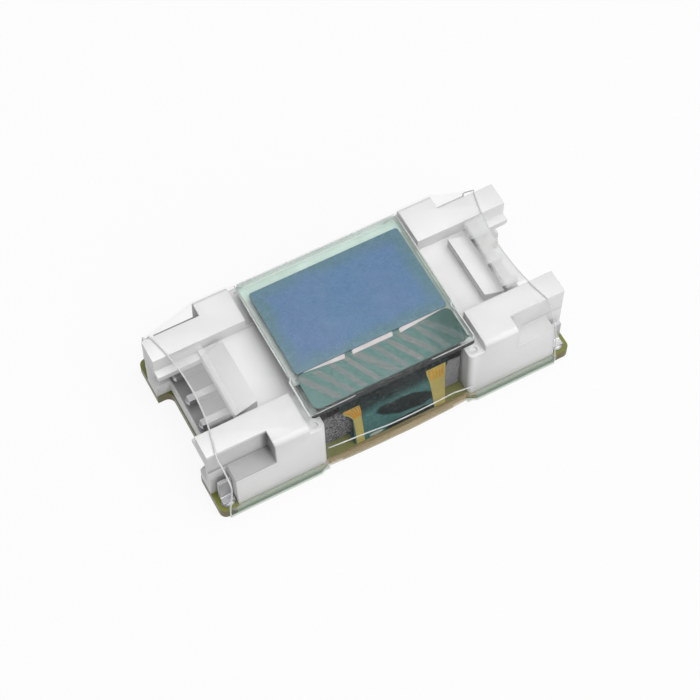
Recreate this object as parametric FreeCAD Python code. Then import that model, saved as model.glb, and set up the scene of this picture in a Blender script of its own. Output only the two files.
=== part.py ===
import FreeCAD, Part
import math
import os

os.makedirs("parts", exist_ok=True)

# All sizes are in millimetres. X runs from socket to socket, Y across, Z up.
# The origin is at the middle of the underside, on the outside of the sleeve.

# Sizes of the contact pins
pin_count = 4
pin_pitch = 2.0
pin_thickness = 0.5
pin_height = 2.15
pin_tip_setback = 1.17
pin_tip_taper = 0.14
pin_bend_radius = 0.35
pin_inside_radius = 0.15
pin_leg_cover = 0.1
pin_foot_length = 0.85
pin_clearance = 0.02
pin_span = (pin_count - 1) * pin_pitch
pin_places = [i * pin_pitch - pin_span / 2 for i in range(pin_count)]

# Sizes of the socket housings; the margins are taken from the outer pins
socket_end_margin = 3.3
socket_draft = 0.3
socket_corner_radius = 0.35
arm_height = 5.15
arm_depth = 6.7
arm_inner_margin = 0.07
arm_round = 0.4
rear_drop = 0.75
rear_step = 1.15
notch_length = 4.2
notch_width = 1.2
notch_floor = 3.0
corner_notch_depth = 1.3
ejector_mark_radius = 0.2
ejector_mark_depth = 0.1
ejector_mark_inset = 0.5
deck_drop = 1.1
ledge_drop = 0.18
roof_height = 3.35
cavity_floor = 1.3
cavity_margin = 1.1
cavity_depth = 5.9
cavity_lead_in = 0.25
latch_slot_inset = 0.5
latch_slot_depth = 3.14
catch_clearance = 0.02
catch_length = 1.6
catch_front_rise = 0.12
catch_top_drop = 0.28
floor_recess_depth = 1.05
floor_recess_margin = 0.35
rear_height = arm_height - rear_drop
deck_height = arm_height - deck_drop
socket_depth = arm_depth + rear_step
socket_base_width = pin_span + 2 * socket_end_margin
socket_top_width = socket_base_width - 2 * socket_draft
arm_outer_spacing = socket_top_width - 2 * notch_width
arm_inner_spacing = pin_span + 2 * arm_inner_margin
cavity_width = pin_span + 2 * cavity_margin
latch_slot_width = pin_span - 2 * latch_slot_inset
floor_recess_width = pin_span + 2 * floor_recess_margin

# Sizes of the solder tabs that anchor each housing
anchor_thickness = 0.25
anchor_setback = 0.35
anchor_inset = 0.55
anchor_plate_length = 2.4
anchor_plate_height = 2.1
anchor_foot_length = 0.85
anchor_foot_reach = 0.55
anchor_clearance = 0.03
anchor_outer = socket_top_width / 2 - anchor_inset
anchor_inner = anchor_outer - anchor_thickness

# Sizes of the display panel
display_width = 12.0
display_depth = 11.0
substrate_thickness = 0.55
ledge_depth = 2.85
cap_side_margin = 0.3
cap_back_margin = 0.25
cap_thickness = 0.55
polariser_side_margin = 0.45
polariser_back_margin = 1.08
polariser_overlap = 0.22
polariser_thickness = 0.15
glass_corner_radius = 0.2
driver_length = 7.6
driver_depth = 0.9
driver_thickness = 0.3
driver_gap = 0.35
panel_gap = 0.1
display_front = -display_depth / 2
ledge_line = display_front + ledge_depth
polariser_front = ledge_line + polariser_overlap
polariser_back = display_depth / 2 - polariser_back_margin
polariser_half_width = display_width / 2 - polariser_side_margin

# Where each socket starts and ends along the board
socket_gap = 0.45
arm_rear = display_width / 2 + socket_gap
socket_rear = arm_rear - rear_step
mouth_distance = arm_rear + arm_depth
notch_end = mouth_distance - notch_length

# Sizes of the foam spacer that carries the panel
spacer_end_gap = 0.1
spacer_inset = 0.3
spacer_tunnel_margin = 0.55
spacer_tunnel_height = 1.6
spacer_half_length = socket_rear - spacer_end_gap
spacer_half_depth = display_depth / 2 - spacer_inset
tunnel_half_width = (pin_span + pin_thickness) / 2 + spacer_tunnel_margin

# Sizes of the circuit board
board_thickness = 0.8
board_ledge = 0.13
board_corner_radius = 0.5
board_waist_margin = 0.6
board_waist_run = 0.7
end_recess_depth = 1.0
end_recess_margin = 0.3
end_recess_radius = 0.5
board_half_length = mouth_distance
board_full_half_width = socket_base_width / 2 + board_ledge
waist_half_width = display_depth / 2 + board_waist_margin
waist_start = spacer_half_length
waist_finish = waist_start + board_waist_run

# Sizes of the flat flexible cable
flex_width = 7.9
flex_foot_width = 6.8
flex_foot_offset = 0.25
flex_thickness = 0.1
flex_bond_length = 0.75
flex_edge_margin = 0.25
flex_top_radius = 0.35
flex_bottom_radius = 0.3
flex_foot_length = 1.1
flex_edge_setback = 0.12
flex_taper_drop = 0.95
flex_taper_run = 0.8
flex_relief_gap = 0.08

# Sizes of the heat-shrink sleeve
sleeve_wall = 0.12
sleeve_clearance = 0.03
sleeve_left_cut = 0.55
sleeve_right_cut = 1.3
sleeve_cut_bow = 0.8
sleeve_left_sag = 0.45

# Sizes of the small parts on the board, as length, width and height
regulator_size = (2.9, 1.6, 1.1)
regulator_lead = (0.4, 0.6, 0.15)
regulator_pitch = 0.95
large_capacitor_size = (1.6, 0.8, 0.8)
small_capacitor_size = (1.0, 0.5, 0.5)
resistor_size = (1.0, 0.5, 0.35)
termination_share = 0.24
termination_step = 0.03
part_gap = 0.2
outer_row = 2.6
small_part_gap = 0.5

# Heights that follow from the sizes above
board_bottom = sleeve_wall
board_top = board_bottom + board_thickness
cap_bottom = board_top + rear_height + panel_gap
substrate_bottom = cap_bottom + cap_thickness
substrate_top = substrate_bottom + substrate_thickness
polariser_top = substrate_top + polariser_thickness

# How far a cut reaches past the faces it opens
overrun = 1.0


def save(shape, name):
    """Write one sub-part to its own file."""
    shape.exportStep("parts/" + name + ".step")


def box(x0, x1, y0, y1, z0, z1):
    """Return a box between two corners."""
    return Part.makeBox(x1 - x0, y1 - y0, z1 - z0, FreeCAD.Vector(x0, y0, z0))


def mirrored_box(x0, x1, y0, y1, z0, z1):
    """Return two boxes, the second mirrored to the far side of the middle plane."""
    return [box(x0, x1, y0, y1, z0, z1), box(x0, x1, -y1, -y0, z0, z1)]


def polygon_face(points):
    """Return a flat face with the given corners."""
    corners = [FreeCAD.Vector(*p) for p in points]
    return Part.Face(Part.makePolygon(corners + corners[:1]))


def half_turn(shape):
    """Return a copy turned half a turn about the vertical axis."""
    copy = shape.copy()
    copy.rotate(FreeCAD.Vector(0, 0, 0), FreeCAD.Vector(0, 0, 1), 180)
    return copy


def edges_centred(shape, keep):
    """Return the edges whose middle satisfies keep(point)."""
    return [edge for edge in shape.Edges if keep(edge.CenterOfMass)]


def upright_edges(shape, keep):
    """Return the vertical edges whose middle satisfies keep(x, y)."""
    found = []
    for edge in shape.Edges:
        if len(edge.Vertexes) != 2:
            continue
        a, b = edge.Vertexes[0].Point, edge.Vertexes[1].Point
        if math.hypot(a.x - b.x, a.y - b.y) < 1e-6 and keep(a.x, a.y):
            found.append(edge)
    return found


def rounded_plate(width, depth, thickness, radius, centre_y, bottom):
    """Return a flat plate with rounded upright corners, centred on X."""
    plate = box(-width / 2, width / 2, centre_y - depth / 2, centre_y + depth / 2,
                bottom, bottom + thickness)
    return plate.makeFillet(radius, upright_edges(plate, lambda x, y: True))


def cross_edges(shape, x, z):
    """Return the edges that run along Y at one place in X and Z."""
    return [e for e in shape.Edges
            if all(abs(v.X - x) < 1e-6 and abs(v.Z - z) < 1e-6 for v in e.Vertexes)]


def cross_edges_x(shape, y, z):
    """Return the edges that run along X at one place in Y and Z."""
    return [e for e in shape.Edges
            if all(abs(v.Y - y) < 1e-6 and abs(v.Z - z) < 1e-6 for v in e.Vertexes)]


def closed_wire(points):
    """Return a closed wire through the given points."""
    corners = [FreeCAD.Vector(*p) for p in points]
    return Part.makePolygon(corners + corners[:1])


# The board: full width at the sockets, with a slight waist between them


def board_half_width(x):
    """Return half the width of the board at a place along X."""
    share = min(1.0, max(0.0, (abs(x) - waist_start) / board_waist_run))
    return waist_half_width + (board_full_half_width - waist_half_width) * share


def make_board():
    """Return the circuit board, with its waist and the recess at each end."""
    end = board_half_length
    outline = []
    for side in (-1, 1):
        row = [-end, -waist_finish, -waist_start, waist_start, waist_finish, end]
        if side > 0:
            row.reverse()
        outline += [(x, side * board_half_width(x), board_bottom) for x in row]
    board = polygon_face(outline).extrude(FreeCAD.Vector(0, 0, board_thickness))
    board = board.makeFillet(board_corner_radius, upright_edges(board, lambda x, y: abs(x) > end - 1e-3))
    half = pin_span / 2 + end_recess_margin
    recess = box(end - end_recess_depth, end + overrun, -half, half,
                 board_bottom - overrun, board_top + overrun)
    inner = upright_edges(recess, lambda x, y: x < end)
    recess = recess.makeFillet(end_recess_radius, inner)
    return board.cut([recess, half_turn(recess)])


# The socket housing is drawn for the left end, in a frame whose X runs inwards
# from the mouth and whose Z starts on the board; place_socket moves it home


def place_socket(shape, right):
    """Return a copy of a socket's shape moved to its end of the board."""
    copy = shape.copy()
    copy.translate(FreeCAD.Vector(-mouth_distance, 0, board_top))
    return half_turn(copy) if right else copy


def socket_half_width(height):
    """Return half the outer width of a housing at a height above the board."""
    share = height / arm_height
    return (socket_base_width + (socket_top_width - socket_base_width) * share) / 2


def tapered_block(depth, height):
    """Return a block from the mouth inwards, whose side walls lean in slightly."""
    base, top = socket_half_width(0), socket_half_width(height)
    section = polygon_face([(0, -base, 0), (0, base, 0), (0, top, height), (0, -top, height)])
    return section.extrude(FreeCAD.Vector(depth, 0, 0))


def socket_block():
    """Return the outer form of a housing: arms, side notches and the low rear."""
    body = tapered_block(socket_depth, rear_height)
    body = body.fuse(tapered_block(arm_depth, arm_height)).removeSplitter()
    body = body.makeFillet(socket_corner_radius, edges_centred(
        body, lambda c: c.x > socket_depth - 1e-3 and abs(c.y) > socket_top_width / 4))
    body = body.makeFillet(arm_round, edges_centred(
        body, lambda c: c.z > arm_height - 1e-3 and abs(c.y) > socket_top_width / 4))
    outer = socket_base_width / 2 + overrun
    cuts = mirrored_box(-overrun, notch_length, arm_outer_spacing / 2, outer,
                        notch_floor, arm_height + overrun)
    cuts.append(box(-overrun, socket_depth + overrun, -arm_inner_spacing / 2, arm_inner_spacing / 2,
                    deck_height, arm_height + overrun))
    mark_x = (arm_depth + socket_depth) / 2
    mark_y = socket_half_width(rear_height) - ejector_mark_inset
    for y in (-mark_y, mark_y):
        foot = FreeCAD.Vector(mark_x, y, rear_height - ejector_mark_depth)
        cuts.append(Part.makeCylinder(ejector_mark_radius, overrun, foot))
    return body.cut(cuts)


def latch_catch():
    """Return the ramped bar that a plug's latch snaps behind."""
    front = latch_slot_depth
    rear = front + catch_length
    half = latch_slot_width / 2 - catch_clearance
    profile = [
        (front, -half, roof_height),
        (rear, -half, roof_height),
        (rear, -half, arm_height - catch_top_drop),
        (front, -half, deck_height + catch_front_rise),
    ]
    return polygon_face(profile).extrude(FreeCAD.Vector(0, 2 * half, 0))


def polygon_wire(x, half, low, high):
    """Return an upright rectangle across the housing at a given depth."""
    corners = [(x, -half, low), (x, half, low), (x, half, high), (x, -half, high), (x, -half, low)]
    return Part.makePolygon([FreeCAD.Vector(*c) for c in corners])


def mating_cavity():
    """Return the space that a plug enters, with a lead-in at the mouth."""
    half = cavity_width / 2
    cavity = box(-overrun, cavity_depth, -half, half, cavity_floor, roof_height)
    flare = half + cavity_lead_in
    mouth = Part.makeLoft([
        polygon_wire(0, flare, cavity_floor - cavity_lead_in, roof_height + cavity_lead_in / 2),
        polygon_wire(cavity_lead_in, half, cavity_floor, roof_height),
    ], True, True)
    return [cavity, mouth]


def make_housing():
    """Return one socket housing in its own frame."""
    slot_half = latch_slot_width / 2
    arm_half = arm_inner_spacing / 2
    floor_half = floor_recess_width / 2
    outer = socket_base_width / 2 + overrun
    body = socket_block().fuse(latch_catch())
    cuts = mating_cavity()
    cuts.append(box(-overrun, latch_slot_depth, -slot_half, slot_half, cavity_floor, arm_height + overrun))
    cuts.append(box(-overrun, latch_slot_depth, -arm_half, arm_half,
                    deck_height - ledge_drop, deck_height + overrun))
    cuts.append(box(-overrun, floor_recess_depth, -floor_half, floor_half,
                    -overrun, cavity_floor + overrun / 2))
    cuts += mirrored_box(-overrun, corner_notch_depth, arm_outer_spacing / 2, outer,
                         -overrun, arm_height + overrun)
    slot_end = anchor_setback + anchor_plate_length + anchor_clearance
    cuts += mirrored_box(corner_notch_depth - overrun, slot_end, anchor_inner - anchor_clearance,
                         anchor_outer + anchor_clearance, -overrun, anchor_plate_height + anchor_clearance)
    hole = pin_thickness / 2 + pin_clearance
    leg_front = socket_depth - pin_leg_cover - pin_thickness - pin_inside_radius - pin_clearance
    for y in pin_places:
        cuts.append(box(cavity_depth - overrun, socket_depth + overrun, y - hole, y + hole,
                        pin_height - hole, pin_height + hole))
        cuts.append(box(leg_front, socket_depth + overrun, y - hole, y + hole, -overrun, pin_height + hole))
    return body.cut(cuts).removeSplitter()


def make_pin(y):
    """Return one bent square contact pin in the socket's own frame."""
    half = pin_thickness / 2
    leg_rear = socket_depth - pin_leg_cover
    leg_front = leg_rear - pin_thickness
    tip = pin_tip_setback
    top = pin_height + half
    bottom = pin_height - half
    foot_end = socket_depth + pin_foot_length
    outline = [
        (tip, bottom), (leg_front, bottom), (leg_front, 0), (foot_end, 0),
        (foot_end, pin_thickness), (leg_rear, pin_thickness), (leg_rear, top), (tip, top),
    ]
    face = polygon_face([(x, y - half, z) for x, z in outline])
    pin = face.extrude(FreeCAD.Vector(0, pin_thickness, 0))
    outside = cross_edges(pin, leg_rear, top) + cross_edges(pin, leg_front, 0)
    pin = pin.makeFillet(pin_bend_radius, outside)
    inside = cross_edges(pin, leg_front, bottom) + cross_edges(pin, leg_rear, pin_thickness)
    pin = pin.makeFillet(pin_inside_radius, inside)
    nose = [e for e in pin.Edges if all(abs(v.X - tip) < 1e-6 for v in e.Vertexes)]
    return pin.makeChamfer(pin_tip_taper, nose)


def make_anchor(side):
    """Return one folded solder tab in the socket's own frame."""
    plate = box(anchor_setback, anchor_setback + anchor_plate_length, anchor_inner, anchor_outer,
                0, anchor_plate_height)
    foot = box(anchor_setback, anchor_setback + anchor_foot_length, anchor_inner,
               anchor_outer + anchor_foot_reach, 0, anchor_thickness)
    tab = plate.fuse(foot).removeSplitter()
    tab = tab.makeFillet(anchor_thickness / 3, cross_edges_x(tab, anchor_outer, anchor_thickness))
    if side < 0:
        tab = tab.mirror(FreeCAD.Vector(0, 0, 0), FreeCAD.Vector(0, 1, 0))
    return tab


# The display panel: two sheets of glass, a polariser and a bare driver chip


def make_substrate():
    """Return the front glass, whose front strip stands out past the cap."""
    return rounded_plate(display_width, display_depth, substrate_thickness, glass_corner_radius,
                         0, substrate_bottom)


def make_cap():
    """Return the rear glass that seals the picture area."""
    back = display_depth / 2 - cap_back_margin
    width = display_width - 2 * cap_side_margin
    return rounded_plate(width, back - ledge_line, cap_thickness, glass_corner_radius,
                         (back + ledge_line) / 2, cap_bottom)


def make_polariser():
    """Return the blue film on the front glass."""
    depth = polariser_back - polariser_front
    return rounded_plate(2 * polariser_half_width, depth, polariser_thickness, glass_corner_radius,
                         (polariser_back + polariser_front) / 2, substrate_top)


def make_driver():
    """Return the driver chip, bonded under the front strip of the glass."""
    rear = ledge_line - driver_gap
    return box(-driver_length / 2, driver_length / 2, rear - driver_depth, rear,
               substrate_bottom - driver_thickness, substrate_bottom)


def make_spacer():
    """Return the foam spacer, open underneath over the small parts and pin feet."""
    block = box(-spacer_half_length, spacer_half_length, -spacer_half_depth, spacer_half_depth,
                board_top, cap_bottom)
    tunnel = box(-spacer_half_length - overrun, spacer_half_length + overrun,
                 -tunnel_half_width, tunnel_half_width, board_bottom, board_top + spacer_tunnel_height)
    relief_half = flex_foot_width / 2 + flex_relief_gap
    relief = box(flex_foot_offset - relief_half, flex_foot_offset + relief_half,
                 -spacer_half_depth - overrun, -tunnel_half_width + overrun,
                 board_bottom, board_top + flex_thickness + flex_relief_gap)
    return block.cut([tunnel, relief])


# The flat cable: bonded under the glass, bent down the front, soldered at its foot


def flex_path():
    """Return the centre line of the cable as points with the radius of each bend."""
    half = flex_thickness / 2
    top = substrate_bottom - half
    foot = board_top + half
    bend_y = display_front + flex_edge_margin
    foot_y = -(waist_half_width - flex_edge_setback)
    return [
        (bend_y + flex_bond_length, top, 0.0),
        (bend_y, top, flex_top_radius),
        (foot_y, foot, flex_bottom_radius),
        (foot_y + flex_foot_length, foot, 0.0),
    ]


def ribbon_edges(points, shift):
    """Return lines and arcs along a path, set off sideways by a shift."""
    vectors = [FreeCAD.Vector(0, y, z) for y, z, radius in points]
    edges = []
    for i in range(len(points) - 1):
        start, end = vectors[i], vectors[i + 1]
        along = (end - start).normalize()
        aside = FreeCAD.Vector(0, -along.z, along.y) * shift
        head = bend_length(vectors, points, i)
        tail = bend_length(vectors, points, i + 1)
        a = start + along * head + aside
        b = end - along * tail + aside
        edges.append(Part.LineSegment(a, b).toShape())
        if i < len(points) - 2:
            edges.append(bend_arc(vectors, points, i + 1, shift, b))
    return edges


def bend_length(vectors, points, i):
    """Return how far from its corner a bend of the path starts."""
    if i in (0, len(points) - 1):
        return 0.0
    before = (vectors[i] - vectors[i - 1]).normalize()
    after = (vectors[i + 1] - vectors[i]).normalize()
    return points[i][2] * math.tan(before.getAngle(after) / 2)


def bend_arc(vectors, points, i, shift, start):
    """Return the arc of one bend, set off by the same shift as its straights."""
    before = (vectors[i] - vectors[i - 1]).normalize()
    after = (vectors[i + 1] - vectors[i]).normalize()
    turn = before.getAngle(after)
    sign = 1.0 if before.y * after.z - before.z * after.y > 0 else -1.0
    length = bend_length(vectors, points, i)
    tangent_point = vectors[i] - before * length
    centre = tangent_point + FreeCAD.Vector(0, -before.z, before.y) * (sign * points[i][2])
    spoke = start - centre
    middle = centre + turned(spoke, sign * turn / 2)
    end = centre + turned(spoke, sign * turn)
    return Part.Arc(start, middle, end).toShape()


def turned(vector, angle):
    """Return a vector turned about the X axis."""
    c, s = math.cos(angle), math.sin(angle)
    return FreeCAD.Vector(vector.x, vector.y * c - vector.z * s, vector.y * s + vector.z * c)


def make_flex():
    """Return the flat cable, wide under the glass and narrower below it."""
    points = flex_path()
    half = flex_thickness / 2
    upper = ribbon_edges(points, half)
    lower = ribbon_edges(points, -half)
    ends = [
        Part.LineSegment(lower[0].Vertexes[0].Point, upper[0].Vertexes[0].Point).toShape(),
        Part.LineSegment(lower[-1].Vertexes[1].Point, upper[-1].Vertexes[1].Point).toShape(),
    ]
    wire = Part.Wire(Part.__sortEdges__(upper + lower + ends))
    ribbon = Part.Face(wire).extrude(FreeCAD.Vector(flex_width, 0, 0))
    ribbon.translate(FreeCAD.Vector(-flex_width / 2, 0, 0))
    wide = flex_width / 2
    left = flex_foot_offset - flex_foot_width / 2
    right = flex_foot_offset + flex_foot_width / 2
    start = substrate_bottom - flex_taper_drop
    end = start - flex_taper_run
    front = display_front - overrun
    outline = [
        (left, front, board_bottom), (right, front, board_bottom),
        (right, front, end), (wide, front, start), (wide, front, substrate_top),
        (-wide, front, substrate_top), (-wide, front, start), (left, front, end),
    ]
    plan = polygon_face(outline).extrude(FreeCAD.Vector(0, display_depth, 0))
    return ribbon.common(plan)


# The sleeve: a thin tube whose sections follow what it is shrunk on to


def sleeve_section(x, middle, shoulder, crown, sag=0.0):
    """Return the inner section of the sleeve at x, from points on its upper side.

    middle and shoulder are (half width, height) pairs; crown is (back, front, height),
    because the polariser isn't centred; sag draws the film in between the first two.
    """
    gap = sleeve_clearance
    base = socket_base_width / 2 if abs(x) > socket_rear - 2 * gap else 0.0
    side = max(board_half_width(x), base) + gap
    middle = (middle[0] + gap, middle[1] + gap)
    shoulder = (shoulder[0] + gap, shoulder[1] + gap)
    valley = ((middle[0] + shoulder[0]) / 2 - sag, (middle[1] + shoulder[1]) / 2 - sag / 2)
    back, front, peak = crown
    rising = [(side, board_bottom), (side, board_top + gap), middle, valley, shoulder]
    near = [(x, y, z) for y, z in rising]
    far = [(x, -y, z) for y, z in reversed(rising)]
    return near + [(x, back, peak + gap), (x, -front, peak + gap)] + far


def upper_outline(x):
    """Return the points of the sleeve's upper side at a distance x from the middle."""
    gap = sleeve_clearance
    top = board_top + arm_height
    chord = arm_round * (2 - math.sqrt(2))
    back = polariser_back + gap
    front = gap - polariser_front
    if x > notch_end + 2 * gap:
        edge = (socket_half_width(notch_floor), board_top + notch_floor)
        return edge, (arm_outer_spacing / 2, top), (back, front, top)
    if x > arm_rear - 2 * gap:
        rim = (socket_top_width / 2, top - chord)
        return rim, (socket_top_width / 2 - chord, top), (back, front, top)
    glass = (display_depth / 2, substrate_top)
    peak = substrate_top if x > polariser_half_width + 2 * gap else polariser_top
    if x > socket_rear - 2 * gap:
        rear = (socket_half_width(rear_height), board_top + rear_height)
        return rear, glass, (back, front, peak)
    middle = ((waist_half_width + display_depth / 2) / 2, (board_top + substrate_top) / 2)
    return middle, glass, (back, front, peak)


def sleeve_sections():
    """Return the inner sections of the sleeve from its left cut to its right cut."""
    gap = sleeve_clearance
    half = sorted([notch_end + gap, arm_rear - gap, display_width / 2 + gap, waist_finish,
                   polariser_half_width + gap, socket_rear - gap, waist_start - gap])
    left_cut = mouth_distance - sleeve_left_cut
    right_cut = mouth_distance - sleeve_right_cut
    sections = [sleeve_section(-left_cut, *upper_outline(left_cut), sleeve_left_sag)]
    sections += [sleeve_section(-x, *upper_outline(x)) for x in reversed(half)]
    sections += [sleeve_section(x, *upper_outline(x)) for x in half]
    sections.append(sleeve_section(right_cut, *upper_outline(right_cut)))
    return sections


def bowed_cut(distance, right):
    """Return a cutter that bows the upper edge of one end of the sleeve inwards."""
    half = arm_outer_spacing / 2
    radius = (half ** 2 + sleeve_cut_bow ** 2) / (2 * sleeve_cut_bow)
    centre = FreeCAD.Vector(sleeve_cut_bow - radius - distance, 0, board_top + notch_floor)
    cutter = Part.makeCylinder(radius, arm_height, centre)
    return half_turn(cutter) if right else cutter


def grown(points, distance):
    """Return a section with each side moved outwards by a distance."""
    result = []
    count = len(points)
    for i in range(count):
        before = side_normal(points[i - 1], points[i])
        after = side_normal(points[i], points[(i + 1) % count])
        scale = distance / (1 + before[0] * after[0] + before[1] * after[1])
        x, y, z = points[i]
        result.append((x, y + (before[0] + after[0]) * scale, z + (before[1] + after[1]) * scale))
    return result


def side_normal(a, b):
    """Return the outward normal of one side of a section, in Y and Z."""
    dy, dz = b[1] - a[1], b[2] - a[2]
    length = math.hypot(dy, dz)
    return dz / length, -dy / length


def make_sleeve():
    """Return the clear tube, open at both ends."""
    inner = sleeve_sections()
    outer = [grown(points, sleeve_wall) for points in inner]
    inside = Part.makeLoft([closed_wire(points) for points in inner], True, True)
    outside = Part.makeLoft([closed_wire(points) for points in outer], True, True)
    left_end = bowed_cut(mouth_distance - sleeve_left_cut, False)
    right_end = bowed_cut(mouth_distance - sleeve_right_cut, True)
    return outside.cut([inside, left_end, right_end])


# The small parts under the panel, all inside the tunnel of the spacer


def make_chip(size, x, y, turned_part):
    """Return a chip capacitor or resistor: a body with a metal end at each side."""
    length, width, height = size
    end = length * termination_share
    step = termination_step
    body = box(-length / 2 + step, length / 2 - step, -width / 2 + step, width / 2 - step,
               step, height - step)
    ends = [
        box(-length / 2, -length / 2 + end, -width / 2, width / 2, 0, height),
        box(length / 2 - end, length / 2, -width / 2, width / 2, 0, height),
    ]
    chip = body.fuse(ends).removeSplitter()
    if turned_part:
        chip.rotate(FreeCAD.Vector(0, 0, 0), FreeCAD.Vector(0, 0, 1), 90)
    chip.translate(FreeCAD.Vector(x, y, board_top))
    return chip


def make_regulator(x, y):
    """Return the voltage regulator: a moulded body on five bent leads."""
    length, width, height = regulator_size
    lead_width, lead_reach, lead_thickness = regulator_lead
    stand_off = lead_thickness / 2
    body = box(-length / 2, length / 2, -width / 2, width / 2, stand_off, height)
    upper = [e for e in body.Edges if all(abs(v.Z - height) < 1e-6 for v in e.Vertexes)]
    body = body.makeChamfer(lead_thickness, upper)
    leads = []
    for side, places in ((-1, (-1, 0, 1)), (1, (-1, 1))):
        for place in places:
            leads.append(make_lead(side, place * regulator_pitch, lead_width, lead_reach, lead_thickness))
    regulator = body.fuse(leads).removeSplitter()
    regulator.rotate(FreeCAD.Vector(0, 0, 0), FreeCAD.Vector(0, 0, 1), 90)
    regulator.translate(FreeCAD.Vector(x, y, board_top))
    return regulator


def make_lead(side, place, width, reach, thickness):
    """Return one bent lead of the regulator."""
    half = regulator_size[1] / 2
    exit_height = regulator_size[2] / 2
    outer = half + reach / 2
    inner = outer - thickness
    profile = [
        (half - thickness, exit_height), (outer, exit_height), (outer, thickness),
        (half + reach, thickness), (half + reach, 0), (inner, 0),
        (inner, exit_height - thickness), (half - thickness, exit_height - thickness),
    ]
    points = [(place - width / 2, side * y, z) for y, z in profile]
    return polygon_face(points).extrude(FreeCAD.Vector(width, 0, 0))


# The small parts stand in rows between the feet of the two sets of pins
tunnel_clear = socket_rear - pin_foot_length - part_gap
regulator_x = -tunnel_clear + regulator_size[1] / 2 + regulator_lead[1]
row_step = large_capacitor_size[0] + 2 * small_part_gap
left_row_x = -tunnel_clear + large_capacitor_size[0] / 2
outer_parts = [
    ("input_capacitor", 0, 1), ("panel_supply_capacitor", 1, 1),
    ("output_capacitor", 0, -1), ("panel_bias_capacitor", 1, -1),
]
small_capacitors = ["reset_capacitor", "logic_capacitor", "second_pump_capacitor", "first_pump_capacitor"]
resistors = ["reset_resistor", "clock_pull_up_resistor", "data_pull_up_resistor", "current_set_resistor"]

# Every sub-part goes into its own file
save(make_board(), "circuit_board")

housing = make_housing()
for label, right in (("left", False), ("right", True)):
    save(place_socket(housing, right), label + "_socket_housing")
    for number, y in enumerate(pin_places, 1):
        save(place_socket(make_pin(y), right), label + "_contact_pin_" + str(number))
    for place, side in (("front", -1), ("back", 1)):
        # the right socket is turned round, so its front tab is drawn at the back
        drawn_side = -side if right else side
        save(place_socket(make_anchor(drawn_side), right), label + "_" + place + "_solder_tab")

save(make_spacer(), "foam_spacer")
save(make_cap(), "display_rear_glass")
save(make_substrate(), "display_front_glass")
save(make_polariser(), "polariser_film")
save(make_driver(), "display_driver_chip")
save(make_flex(), "display_flex_cable")
save(make_sleeve(), "heat_shrink_sleeve")

save(make_regulator(regulator_x, 0), "voltage_regulator")
for name, column, side in outer_parts:
    save(make_chip(large_capacitor_size, left_row_x + column * row_step, side * outer_row, False), name)
for names, size, side in ((small_capacitors, small_capacitor_size, 1), (resistors, resistor_size, -1)):
    for column, name in enumerate(names):
        x = tunnel_clear - size[1] / 2 - column * (size[1] + small_part_gap)
        y = side * (size[0] + small_part_gap) / 2
        save(make_chip(size, x, y, True), name)
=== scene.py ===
"""Looks of a small display module: two white sockets, a panel and a clear sleeve.

Sizes in the classes are in millimetres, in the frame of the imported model; meshes
are scaled to metres where an object is made.
"""
import logging
import math
from contextlib import contextmanager
from dataclasses import dataclass
from enum import Enum
from typing import Callable, Iterable, Iterator, Sequence

import bmesh
import bpy
from mathutils import Matrix, Vector, noise


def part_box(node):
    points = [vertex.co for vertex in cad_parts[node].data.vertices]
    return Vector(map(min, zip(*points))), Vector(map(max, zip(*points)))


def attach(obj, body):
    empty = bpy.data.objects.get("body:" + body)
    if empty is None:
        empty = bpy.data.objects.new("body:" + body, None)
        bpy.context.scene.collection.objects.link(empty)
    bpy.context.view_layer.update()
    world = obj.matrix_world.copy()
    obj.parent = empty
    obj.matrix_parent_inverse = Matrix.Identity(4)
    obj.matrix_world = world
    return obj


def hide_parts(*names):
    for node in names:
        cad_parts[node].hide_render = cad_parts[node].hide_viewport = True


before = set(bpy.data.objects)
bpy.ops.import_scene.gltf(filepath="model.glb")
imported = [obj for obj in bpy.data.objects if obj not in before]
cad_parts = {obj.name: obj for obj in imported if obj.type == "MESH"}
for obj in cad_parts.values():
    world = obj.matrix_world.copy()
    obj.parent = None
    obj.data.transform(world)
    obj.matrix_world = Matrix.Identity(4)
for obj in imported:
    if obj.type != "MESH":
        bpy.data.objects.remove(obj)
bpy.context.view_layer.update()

log = logging.getLogger("display_module")
MM = 0.001
BODY = "root"
Point = tuple[float, float, float]
Colour = tuple[float, float, float]
Patch = tuple[float, float, float, float, float]
Row = list[tuple[float, float]]


class Slot(Enum):
    """The record's material slots."""

    BOARD = "circuit_board"
    PLASTIC = "white_plastic"
    METAL = "tinned_contact"
    GLASS = "display_glass"
    POLARISER = "polariser"
    SILICON = "silicon"
    FLEX = "flex_cable"
    FOAM = "foam"
    FILM = "clear_sleeve"
    CHIP = "chip_plastic"
    CAPACITOR = "capacitor_ceramic"
    RESISTOR = "resistor_ceramic"


class Side(Enum):
    """The two ends of the module."""

    LEFT = -1
    RIGHT = 1


# ------------------------------------------------------------------ node trees


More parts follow.
